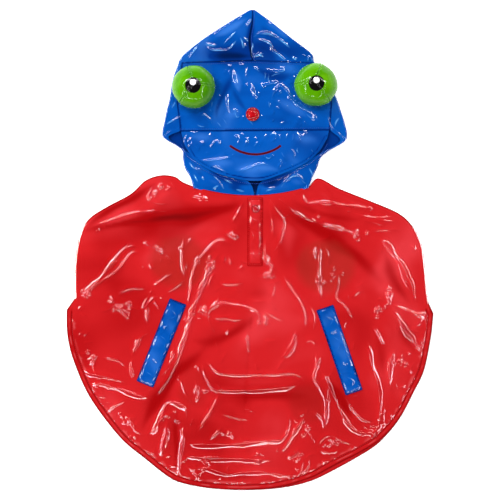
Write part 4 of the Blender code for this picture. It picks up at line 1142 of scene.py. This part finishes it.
visorCreases = (
    (1.0, 3.0, (-96.5, 177.5), (-94.5, 171), (-97.5, 165), (-92.5, 157.5)),
    (0.8, 2.6, (-89, 176.5), (-77.5, 175.5)), (1.2, 3.2, (-51, 166), (-60.5, 151)),
    (1.1, 3.0, (-43, 163.5), (-49, 157.5)),
    (1.2, 3.2, (-26, 167), (-22, 170), (-16.5, 166), (-19.5, 154.5)),
    (1.0, 2.8, (-2, 172), (-3, 164), (-10, 152)), (0.9, 2.8, (14, 165), (3.5, 152)),
    (1.6, 4.2, (-76.5, 137.5), (-66, 133), (-34.5, 137.5), (-28, 140.5), (-27, 145)),
    (1.3, 3.8, (-63, 128), (-50, 125), (-39.5, 119.5), (-31, 113)),
    (1.6, 4.2, (-23, 117.5), (-16.5, 118.5), (-1, 122.5), (10, 127), (22, 129), (31, 125)),
    (1.0, 2.8, (19.5, 165), (24, 172), (27, 165)),
    (1.0, 2.8, (29, 170), (32, 174), (38.5, 173), (37.5, 166), (31, 161.5), (32, 158.5)),
    (0.9, 2.6, (43, 174), (46, 165)), (0.9, 2.6, (56.5, 175), (53.5, 166)),
    (1.0, 2.8, (62, 175), (65, 170), (62, 161.5)),
    (1.1, 3.0, (66, 177), (72, 174), (73.5, 167), (77.5, 159.5)),
    (1.1, 3.0, (76.5, 177), (84, 177.5), (78.5, 169), (76.5, 175)),
    (1.6, 4.0, (58.5, 153), (64, 148), (66, 140.5), (66, 135.5)),
    (1.0, 2.8, (72, 153), (70, 148), (73.5, 145)), (0.9, 2.6, (91, 151), (94.5, 146)),
    (1.1, 3.2, (46, 148), (51, 138.5), (55.5, 132)),
    (1.2, 3.2, (43, 132), (46, 136.5), (47, 130), (43, 124), (42.5, 117.5)),
    (1.0, 2.8, (20.5, 142.5), (28.5, 136.5), (34.5, 146)), (0.9, 2.6, (61, 129), (65, 126)),
    (0.9, 2.6, (85, 134.5), (89, 138.5)),
)
neckCreases = (
    (1.1, 3.6, (-55.5, 111), (-49, 105), (-43, 96.5), (-38.5, 90)), (0.8, 2.8, (-73, 110), (-68, 105)),
    (0.9, 3.0, (-56.5, 91), (-46, 96.5)), (0.8, 3.0, (-84, 114), (-77, 101)),
    (0.8, 3.0, (-40, 106), (-24, 98)),
    (1.3, 3.8, (45, 93), (51, 100.5), (59.5, 108), (66, 111.5), (73.5, 111), (78.5, 104), (85, 98.5)),
    (0.8, 3.0, (-22, 90), (-7, 87)), (0.9, 3.0, (22, 88), (34, 92), (44, 90)),
    (0.8, 3.0, (-92, 132), (-84, 122), (-70, 120)), (0.8, 3.0, (88, 124), (94, 112), (88, 102)),
)
sideCreases = (
    (0.9, 3.0, (-126, 187), (-120, 191), (-108, 197), (-100, 202)),
    (1.0, 3.0, (134.5, 198.5), (129, 191), (127, 182.5)),
    (1.0, 3.0, (116.5, 203.5), (117.5, 193), (122, 180.5), (123, 176.5)),
    (0.8, 2.6, (-118, 212), (-112, 222)),
)
# Broad folds of the hood and of its visor, as those of the front: painted shade in the hollows, painted
# sheen on the swells.
hoodBands = (
    (-1.0, 7, (-58, 290), (-30, 290), (0, 290)), (-1.0, 4, (4, 350), (0, 321), (-1, 309), (2, 290)),
    (0.9, 6, (-57, 316), (-30, 331), (-6, 346)), (0.7, 6, (24, 340), (60, 314)),
    (0.3, 6, (-50, 306), (-30, 310)), (-0.9, 24, (-85, 296), (95, 296)), (-0.6, 6, (10, 306), (28, 300)),
    (0.5, 6, (34, 296), (58, 282)), (-0.5, 7, (20, 332), (44, 318)),
    (-0.8, 5, (-28, 272), (-27, 258.5), (-38, 237), (-49, 212), (-50, 196)),
    (0.9, 6, (-22, 268), (-19, 248), (-17, 236)), (-0.6, 4, (-27, 246), (-17.5, 225), (-4, 206)),
    (0.7, 7, (-38, 200), (-14, 206)), (0.6, 8, (40, 225), (60, 215), (85, 200)),
    (-0.8, 7, (62, 262), (40, 258), (16, 268)), (-0.7, 6, (92, 224), (104, 212)),
    (0.4, 8, (10, 240), (4, 225)), (-0.6, 8, (-80, 206), (-92, 200)), (-0.4, 6, (20, 200), (60, 190)),
    (-0.9, 6, (-30, 94), (-12, 90)), (0.5, 6, (-60, 104), (-45, 100)), (0.5, 6, (60, 104), (80, 100)),
    (-0.9, 6, (24, 96), (44, 100)), (-0.5, 5, (-80, 118), (-70, 110)),
    (-1.1, 6, (-60, 117), (-40, 109), (-20, 102), (0, 98)), (-1.1, 6, (12, 99), (40, 105), (66, 117)),
    (0.3, 5, (-114, 186), (-112, 204)), (0.3, 5, (132, 186), (130, 204)),
)
visorBands = (
    (-0.5, 11, (-75, 150), (-55, 148)), (0.6, 8, (-60, 133), (-30, 130)),
    (0.6, 6, (-20, 121), (20, 123), (40, 120)), (-0.5, 5, (-44, 111), (0, 106), (44, 111)),
    (0.5, 10, (60, 140), (70, 130)), (0.5, 7, (-85, 170), (-60, 168)), (0.5, 8, (70, 168), (95, 165)),
    (-0.5, 6, (-35, 140), (0, 140), (30, 136)), (-0.4, 8, (100, 150), (92, 140)),
    (-0.4, 6, (-20, 160), (20, 158)),
)


def eyeGap(x, y, eye):
    # Distance to the seam that holds an eye, below 0 inside it.
    return np.hypot(x - eye["place"][0], y - eye["place"][1]) - eyeShape["foot"]


onBrow = spotIn((-92, 108), (186, 276), lambda x, y: all(eyeGap(x, y, eye) > 7.5 for eye in eyes.values()))
onVisor = spotIn((-90, 106), (114, 172), lambda x, y: math.hypot((x - 4) / 96, (y - 176) / 62) < 1)
onHoodBack = spotIn((-95, 105), (115, 285), lambda x, y: True)
hoodCreases = readCreases(crownCreases, steep=0.46, size=0.17, swell=0.3, tip=0.3, pale=1.5)
hoodCreases += readCreases(browCreases + neckCreases + sideCreases, steep=0.5, size=0.2, swell=0.35,
                           tip=0.3, pale=1.5)
hoodCreases += scatterCreases(13, 24, onBrow, length=(5, 13), steep=(0.34, 0.48), half=(0.7, 1.1))
visorLines = readCreases(visorCreases, steep=0.5, size=0.22, swell=0.25, tip=0.3, pale=1.6)
visorLines += scatterCreases(14, 30, onVisor, length=(4, 12), steep=(0.36, 0.5), half=(0.6, 1.0))
hoodBackCreases = scatterCreases(17, 16, onHoodBack, length=(25, 60), steep=(0.1, 0.16), half=(2.5, 4.0))


def softTrack(points, t):
    # A soft curve through a table's rows, read at row numbers t, which may have fractions.
    knots = withEnds(points)
    index = np.clip(t.astype(int), 0, len(points) - 2)
    return softCurve(*(knots[index + step] for step in range(4)), (t - index)[:, None])


def trackRows(rows, key, t):
    # The outer edge is soft all the way; the front edge has corners where the brow starts and ends.
    values = np.array(rows, float)[:, hoodColumns[key]]
    if key != "front":
        return softTrack(values, t)
    first, last = hood["browFirst"], hood["browLast"]
    made = np.empty((len(t), 2))
    for low, high in ((0, first), (first, last), (last, last + 1), (last + 1, hood["peak"])):
        part = (t >= low) & (t <= high)
        made[part] = softTrack(values[low:high + 1], t[part] - low)
    return made


def frontRun(rows, low, high, steps):
    return trackRows(rows, "front", np.linspace(low, high, steps))


leftRim, rightRim = (frontRun(rows, 0, hood["browFirst"], 60) for rows in (hoodLeftRows, hoodRightRows))
leftBrowSide, rightBrowSide = (frontRun(rows, hood["browFirst"], hood["browLast"], 50)
                               for rows in (hoodLeftRows, hoodRightRows))
crown = (hood["centreX"], hood["crownY"])
crownLeft = np.array([leftBrowSide[-1], crown])
crownRight = np.array([crown, rightBrowSide[-1]])
centreSeam = frontRun(hoodLeftRows, hood["browLast"] + 1, hood["peak"], 40) + (0.15, 0)
visorSeam = np.array([visor["topLeft"], visor["topRight"]], float)
# The seams of the hood with how deep each one shows.
hoodSeams = ((leftBrowSide, 1.0), (rightBrowSide, 1.0), (crownLeft, 0.8), (crownRight, 0.55),
             (centreSeam, 1.0))
allSeams = hoodSeams + ((visorSeam, 1.0),)
visorDip = ((visorSeam, 0.2),)        # both sides dip where the visor is sewn to the brow
visorEdge = smoothPath(visor["edge"], 2.0)
visorTop = visorSeam - (0, seamGap)
visorShape = joinRuns(visorEdge, np.linspace(visorEdge[-1], visorTop[1], 8),
                      np.linspace(visorTop[1], visorTop[0], 112), np.linspace(visorTop[0], visorEdge[0], 8))


def aroundEyes(x, y, lift):
    # Folds fade out where an eye sits, with small puckers just outside the seam that holds it.
    puckers = np.zeros(x.shape)
    for index, eye in enumerate(eyes.values()):
        gap = eyeGap(x, y, eye)
        lift = lift * smoothStep(gap, 1, 14)
        angle = np.arctan2(y - eye["place"][1], x - eye["place"][0])
        wave = np.sin(17 * angle + 3 * lumps(x, y, 20, 70 + index)) * lumps(x, y, 9, 72 + index)
        puckers += 0.9 * wave * bell(gap, 5, 5)
    return lift + puckers


def seamShade(x, y, seams):
    # A seam's depth along it, fading within a millimetre or so.
    return np.max([depth * bell(gapTo(x, y, seam), 0, 1.1) for seam, depth in seams], axis=0)


def hoodSurface(x, y):
    # Height of the hood's upper side.
    lift = creaseHeight(x, y, hoodCreases) + 0.6 * bandField(x, y, hoodBands, widen=1.3)
    lift += 0.7 * lumps(x, y, 60, 74) + 0.2 * lumps(x, y, 24, 75)
    room = 0.6 + 2.4 * smoothStep(gapTo(x, y, visorEdge), 1, 9)
    room = np.where(insideOutline(x, y, visorShape), 0.35, room)
    height = hood["top"] + np.minimum(aroundEyes(x, y, lift), room)
    for seam, depth in hoodSeams:
        gap = gapTo(x, y, seam)
        height += depth * (0.08 * bell(gap, 2.2, 1.6) - 0.14 * bell(gap, 0, 0.9))
    for rim in (leftRim, rightRim):
        gap = gapTo(x, y, rim)
        height += 0.3 * (1 - smoothStep(gap, hood["rimHem"] - 1, hood["rimHem"]))
        height -= 0.25 * bell(gap, hood["rimHem"], 0.7)
    return np.maximum(height, hood["top"] - 1.1)


def visorSurface(x, y):
    gap = gapTo(x, y, visorEdge)
    lift = creaseHeight(x, y, visorLines) + 0.5 * bandField(x, y, visorBands, widen=1.3)
    lift = np.maximum(lift + 0.35 * lumps(x, y, 44, 91), -0.15)
    drop = visor["raise"] * smoothStep(visor["topLeft"][1] - y, 0, visor["run"])
    height = hood["top"] + drop + 0.25 + lift * smoothStep(gap, 0, 6)
    height -= 0.4 * (1 - smoothStep(gap, 0, 1.4)) + 0.22 * bell(gap, visor["hem"], 0.8)
    return height - seamShade(x, y, visorDip)


def arch(share):
    # 0 at both ends of a run, 1 half way along.
    return 4 * share * (1 - share)


def makeHoodHalf(name, node, rows, side):
    # One sheet that runs from the centre back round the outer fold to the front edge. t is the
    # place along the table's rows; bow and tuck fade from the neckline to the first row above it.
    last, peak = hood["browLast"], hood["peak"]
    t = np.concatenate([np.linspace(0, 4, 57)[:-1], np.linspace(4, last, 57)[:-1],
                        np.linspace(last, last + 1, 13)[:-1], np.linspace(last + 1, peak, 77)])
    bow = np.clip(1 - t, 0, 1)[:, None]
    tuck = bow * (0, hood["tuck"])
    back = trackRows(rows, "back", t) - tuck[:, 1:]
    turn = trackRows(rows, "outer", t) - (side * hood["foldRadius"], 0) - tuck
    front = trackRows(rows, "front", t) - tuck
    # At the centre back the left half laps over the right one, and both lie on the back's neckline.
    share = np.concatenate([(0, 0.03, 0.06), np.linspace(0.1, 1, 31)[:-1]])
    lowX = lerp(hood["centreX"] - side * hood["lap"], turn[:, :1], share)
    lowY = lerp(back, turn[:, 1:], share) + bow * hood["backBow"] * arch(share)
    tuckLift = (cape["backThick"] + layerGap) * (1 - smoothStep(t, 0.25, 0.5))[:, None]
    low = tuckLift + 0.8 * (side < 0) * smoothStep(lowX, -1.0, 1.5) * smoothStep(1 - share, 0, 0.3)
    rise = np.minimum(creaseHeight(lowX, lowY, hoodBackCreases), 0.7)
    low += rise * smoothStep(1 - share, 0, 0.2) * smoothStep(share, 0.06, 0.2)
    rumple = np.clip(lumps(lowX, lowY, 30, 81) + 0.4 * ridges(lowX, lowY, 24, 82), 0, 2)
    outer = [np.dstack([lowX, lowY, low])]
    inner = [np.dstack([lowX, lowY, low + filmThick + 0.5 * rumple])]
    angle = np.linspace(-math.pi / 2, math.pi / 2, 9)
    for layers, radius in ((outer, hood["foldRadius"]), (inner, hood["foldRadius"] - filmThick)):
        foldX = turn[:, :1] + side * radius * np.cos(angle)
        foldZ = hood["foldRadius"] + radius * np.sin(angle)
        foldZ = foldZ + tuckLift * (1 - foldZ / hood["top"])
        layers.append(np.dstack(np.broadcast_arrays(foldX, turn[:, 1:], foldZ)))
    share = np.linspace(0, 1, 91)[1:]
    highX = lerp(turn[:, :1], front[:, :1], share)
    highY = lerp(turn[:, 1:], front[:, 1:], share) + bow * hood["frontBow"] * arch(share)
    free = smoothStep(np.hypot(highX - turn[:, :1], highY - turn[:, 1:]), 0, 5)
    rise = hoodSurface(highX, highY) - hood["top"] - 1.2 * (1 - smoothStep(t, 0.1, 0.5))[:, None]
    top = hood["top"] + rise * free
    outer = np.concatenate(outer + [np.dstack([highX, highY, top])], axis=1)
    inner = np.concatenate(inner + [np.dstack([highX, highY, top - filmThick])], axis=1)
    piece = gridShell(name, outer, inner, blueFilm)
    x, y, z = outer.reshape(-1, 3).T
    upper = z > 2.5        # the front layer, not the back one
    # Painted shade and sheen of the broad folds on the front layer, darker along the seams.
    tone = (bandField(x, y, hoodBands) - 1.4 * seamShade(x, y, allSeams)) * upper
    # A painted highlight along each crease.
    line = paintedHighlightLine(x, y, hoodCreases, wide=0.95) * upper
    x, y, z = inner.reshape(-1, 3).T
    # Painted shade on the inside of the hood, deepest where it shows through the neck opening.
    insideShade = -0.8 - 1.2 * bell(x, 8, 18) * bell(y, 98, 16)
    addRelief(piece, np.concatenate([np.clip(tone, -2, 1), insideShade]))
    addRelief(piece, np.concatenate([line, np.zeros(len(x))]), "crest")
    declare(piece, node)


def makeBrow():
    left = leftBrowSide + (seamGap, 0)
    right = rightBrowSide - (seamGap, 0)
    peak = (hood["centreX"], hood["crownY"] - 1.2 * seamGap)
    topRun = np.vstack([np.linspace(left[-1], peak, 60)[:-1], np.linspace(peak, right[-1], 50)])
    outline = joinRuns(left, topRun, right[::-1], np.linspace(right[0], left[0], 110))
    places, faces = fillOutline(outline, 2.0, hoodCreases, rows=(0.0, 0.6, 1.3), rowStep=1.6)
    x, y = places.T
    top = hoodSurface(x, y) - seamShade(x, y, visorDip)
    piece = shell("browCloth", places, faces, top, top - filmThick, blueFilm)
    # Painted shade and sheen of the broad folds, darker along the seams; then a painted highlight along each
    # crease.
    addRelief(piece, np.clip(bandField(x, y, hoodBands) - 1.4 * seamShade(x, y, allSeams), -2, 1))
    addRelief(piece, paintedHighlightLine(x, y, hoodCreases), "crest")
    declare(piece, "brow")


def makeVisor():
    places, faces = fillOutline(visorShape, 1.9, visorLines, rows=(0.0, 0.6, 1.3), rowStep=1.6)
    x, y = places.T
    top = visorSurface(x, y)
    piece = shell("visorCloth", places, faces, top, top - filmThick, visorFilm)
    hem = bell(gapTo(x, y, visorEdge), visor["hem"], 0.8)
    shade = np.maximum(seamShade(x, y, allSeams[-1:]), hem)
    # Painted shade and sheen of the broad folds, darker along the seam and the hem's stitch line; then a
    # painted highlight along each crease.
    addRelief(piece, np.clip(0.2 + bandField(x, y, visorBands) - 1.3 * shade, -2, 1))
    addRelief(piece, paintedHighlightLine(x, y, visorLines), "crest")
    declare(piece, "visor")


makeHoodHalf("hoodLeft", "hood_left", hoodLeftRows, -1)
makeHoodHalf("hoodRight", "hood_right", hoodRightRows, 1)
makeBrow()
makeVisor()
print("hood made")


# How the covers of the eyes are blown up; lengths in millimetres.
puff = {"voxel": 2.6, "pressure": 3.0, "reach": 4.0, "frames": 20, "stiff": 12, "bending": 0.4}


def inflate(piece, pinned):
    # Blows a closed cover up with the cloth solver; no point moves further than the reach.
    start = np.array([vertex.co for vertex in piece.data.vertices])
    piece.vertex_groups.new(name="sewn").add([int(index) for index in pinned], 1.0, "REPLACE")
    cloth = piece.modifiers.new("cloth", "CLOTH")
    cloth.settings.quality = 8
    cloth.settings.mass = 0.2
    cloth.settings.tension_stiffness = puff["stiff"]
    cloth.settings.compression_stiffness = puff["stiff"]
    cloth.settings.bending_stiffness = puff["bending"]
    cloth.settings.use_pressure = True
    cloth.settings.uniform_pressure_force = puff["pressure"]
    cloth.settings.effector_weights.gravity = 0
    cloth.settings.vertex_group_mass = "sewn"
    cloth.collision_settings.use_collision = False
    for step in range(1, puff["frames"] + 1):
        bpy.context.scene.frame_set(step)
    view = piece.evaluated_get(bpy.context.evaluated_depsgraph_get())
    move = np.array([vertex.co for vertex in view.data.vertices]) - start
    length = np.maximum(np.linalg.norm(move, axis=1), 1e-9)[:, None]
    piece.modifiers.remove(cloth)
    piece.vertex_groups.clear()
    move = move * np.minimum(1, puff["reach"] * mm / length)
    piece.data.vertices.foreach_set("co", (start + move).ravel())
    bpy.context.scene.frame_set(1)


def applyModifiers(piece):
    view = piece.evaluated_get(bpy.context.evaluated_depsgraph_get())
    made = bpy.data.meshes.new_from_object(view)
    piece.modifiers.clear()
    piece.data = made


def seamDistance(co, eye):
    # Distance to the nearest gore seam: arcs that all run over one point of the dome.
    meetX, meetY = eye["meet"]
    gap = np.full(len(co), 1e9)
    for turn in eye["turns"]:
        across = (-math.sin(math.radians(turn)), math.cos(math.radians(turn)))
        along = (co[:, 0] - meetX) * across[1] - (co[:, 1] - meetY) * across[0]
        aside = np.abs((co[:, 0] - meetX) * across[0] + (co[:, 1] - meetY) * across[1])
        gap = np.minimum(gap, np.where(along > 0, aside, np.hypot(aside, along)))
    return gap


def coverPoints(piece):
    # A cover's points in millimetres.
    return np.array([vertex.co for vertex in piece.data.vertices]) / mm


def makeEye(name, eye):
    # A stuffed cover of sewn gores: blown up between its seams, then drawn in along them.
    radius = eyeShape["radius"] - eyeShape["skin"]
    height = eyeShape["height"] - eyeShape["skin"]
    draw = math.asin(eyeShape["drawIn"])
    turns = [lerp(-draw, math.pi / 2, ring / eyeShape["rings"]) for ring in range(eyeShape["rings"])]
    profile = [(radius * math.cos(turn), height * (math.sin(turn) + math.sin(draw)) / (1 + math.sin(draw)))
               for turn in turns]
    points, faces = domeMesh(profile, eyeShape["columns"], height)
    piece = buildObject(name, points * mm, faces, eyeFilm)
    remesh = piece.modifiers.new("remesh", "REMESH")
    remesh.mode = "VOXEL"
    remesh.voxel_size = puff["voxel"] * mm
    applyModifiers(piece)
    co = coverPoints(piece)
    inflate(piece, np.where((co[:, 2] < 1.6) | (seamDistance(co, eye) < 1.3))[0])
    smooth = piece.modifiers.new("smooth", "SUBSURF")
    smooth.levels = smooth.render_levels = 2
    applyModifiers(piece)
    co = coverPoints(piece)
    x, y, z = co.T
    out = co / np.maximum(np.linalg.norm(co, axis=1), 1e-6)[:, None]
    gap = seamDistance(co, eye)
    soft = 0.7 * lumps(x + 0.5 * z, y, 19, eye["seed"] + 1)
    swell = 0.28 * np.sin(z * 2.3 + x * 0.8) * bell(gap, 1.5, 1.8) + soft
    swell += 0.3 * bell(gap, 1.8, 1.0) - 1.0 * bell(gap, 0, 0.8)
    swell += creaseHeight(x, y, readCreases(eye["creases"], steep=0.3, size=0.6))
    pucker = 0.5 * np.sin(26 * np.arctan2(y, x) + 4 * lumps(x, y, 14, eye["seed"])) * bell(z, 2.5, 2.5)
    co = co + out * (smoothStep(z, 0.5, 4) * swell + pucker)[:, None]
    co[:, 2] = np.maximum(co[:, 2], 0)
    co += (*eye["place"], eyeShape["base"])
    piece.data.vertices.foreach_set("co", (co * mm).ravel())
    piece.data.shade_smooth()
    if not piece.data.materials:
        piece.data.materials.append(eyeFilm)
    # Painted shade in the dents and painted sheen on the bulges of the cover's soft lumps.
    addRelief(piece, np.clip(soft, -1, 1))
    declare(piece, eye["node"])


for name, eye in eyes.items():
    makeEye(name, eye)


# A press stud's cap from its foot to its top: shares of its radius and of its height.
studProfile = (
    (0.80, 0.0), (0.92, 0.02), (0.98, 0.10), (1.0, 0.24), (0.99, 0.38), (0.95, 0.50), (0.89, 0.56),
    (0.83, 0.57), (0.78, 0.53), (0.75, 0.46), (0.73, 0.44), (0.71, 0.46), (0.68, 0.56), (0.62, 0.70),
    (0.54, 0.82), (0.44, 0.91), (0.32, 0.97), (0.2, 0.99), (0.1, 0.985),
)
noseStud = {"place": (4.0, 203.0), "radius": 10.5, "height": 4.0}
placketStud = {"place": (8.0, 62.0), "radius": 5.6, "height": 1.7}


def makeStud(name, node, stud, surface):
    # A pressed plastic cap: rolled rim, a groove, a low dome with a shallow dimple.
    x, y = stud["place"]
    base = surface(np.array([x]), np.array([y]))[0]
    profile = [(stud["radius"] * share, base + stud["height"] * rise) for share, rise in studProfile]
    points, faces = domeMesh(profile, 72, base + stud["height"] * 0.98)
    reach = np.hypot(points[:, 0], points[:, 1]) / stud["radius"]
    points[:, :2] += stud["place"]
    piece = buildObject(name, points * mm, faces, snapPlastic, sharp=60)
    # Painted shade round the rolled rim and in the groove inside it.
    addRelief(piece, -1.6 * (reach > 0.93) - 1.2 * bell(reach, 0.73, 0.05))
    declare(piece, node)


makeStud("noseStud", "nose_snap", noseStud, hoodSurface)
makeStud("placketStud", "placket_snap", placketStud, placketTop)
print("eyes and studs made")

# Stitching of the hood, beside its seams and along the visor's edge.
for name, path, heights in (
        ("crownStitchesLeft", crownLeft - (0, 3.2), hoodSurface),
        ("crownStitchesRight", crownRight - (0, 3.2), hoodSurface),
        ("centreStitches", centreSeam + (2.6, 0), hoodSurface),
        ("seamStitches", visorSeam + (0, 3.0), hoodSurface),
        ("visorStitches", smoothPath(offsetPath(visorEdge, -visor["hem"])[3:-3:4], 3.1), visorSurface)):
    stitchRow(name, path, heights, blueThread, "blue_vinyl")


floorShape = {"half": 12.0, "low": -0.0002}        # in metres, just under the garment


def makeFloor():
    material, tree, shader = newMaterial("paleFloor")
    mottle = noiseOf(tree, placeOf(tree), 3.0)
    feed(tree, shader["Base Color"], blendColour(tree, mottle, (0.9, 0.9, 0.9, 1), (0.94, 0.94, 0.94, 1)))
    shader["Roughness"].default_value = 0.7
    shader["Specular IOR Level"].default_value = 0.2
    shader["Emission Color"].default_value = (1, 1, 1, 1)
    shader["Emission Strength"].default_value = 0.5
    mesh = bpy.data.meshes.new("floor")
    half, low = floorShape["half"], floorShape["low"]
    corners = [(x * half, y * half, low) for x, y in ((-1, -1), (1, -1), (1, 1), (-1, 1))]
    mesh.from_pydata(corners, [], [(0, 1, 2, 3)])
    mesh.materials.append(material)
    floor = addObject("floor", mesh)


def addLight(name, place, aim, size, power, colour=(1, 1, 1)):
    # A rectangular soft light; size is its width and length in metres.
    lamp = bpy.data.lights.new(name, "AREA")
    lamp.shape = "RECTANGLE"
    lamp.size, lamp.size_y = size
    lamp.energy = power
    lamp.color = colour
    made = addObject(name, lamp)
    made.location = place
    made.rotation_euler = (Vector(aim) - Vector(place)).to_track_quat("-Z", "Y").to_euler()
    return made


# Thin strip lights in a ring, in metres and degrees: they draw the glints on the film. Those on the
# side that "towards" names are stronger by the bias.
lampRing = {"count": 9, "turn": 15, "lean": (36, 40), "away": 1.75, "size": (0.85, 0.042), "power": 3.9,
            "bias": 0.35, "towards": 130, "tints": ((1, 1, 1), (1, 0.97, 0.93), (0.97, 0.9, 1))}
keyLamp = {"place": (-1.9, 2.1, 1.6), "size": (1.6, 1.6), "power": 81}
middle = (0, -0.02, 0)


def makeLights():
    # A dark patch of sky over a paler horizon keeps the film deep in colour where it lies flat.
    world = bpy.data.worlds.new("studio")
    world.use_nodes = True
    tree = world.node_tree
    sky = tree.nodes["Background"].inputs
    aim = addNode(tree, "SeparateXYZ", {0: addNode(tree, "TexCoord").outputs["Generated"]})
    sky[0].default_value = (1, 1, 1, 1)
    feed(tree, sky[1], rangeOf(tree, aim.outputs[2], 0.05, 0.6, 1.0, 0.01))
    bpy.context.scene.world = world
    for index in range(lampRing["count"]):
        turn = math.radians(lampRing["turn"] + 360 * index / lampRing["count"])
        lean = math.radians(lampRing["lean"][index % 2])
        flat = lampRing["away"] * math.sin(lean)
        place = (flat * math.cos(turn), flat * math.sin(turn) + middle[1], lampRing["away"] * math.cos(lean))
        bias = lampRing["bias"] * math.cos(turn - math.radians(lampRing["towards"]))
        power = lampRing["power"] * (1 + bias)
        addLight(f"strip{index}", place, middle, lampRing["size"], power, lampRing["tints"][index % 3])
    key = addLight("key", keyLamp["place"], middle, keyLamp["size"], keyLamp["power"])
    key.visible_glossy = False        # it lights the film and isn't mirrored in it


def makeCamera():
    camera = bpy.data.cameras.new("camera")
    camera.lens = 85
    camera.sensor_width = 36
    made = addObject("camera", camera)
    made.location = (0, 0, 1.771)
    bpy.context.scene.camera = made
    bpy.context.scene.view_settings.view_transform = "Standard"


makeFloor()
makeLights()
makeCamera()
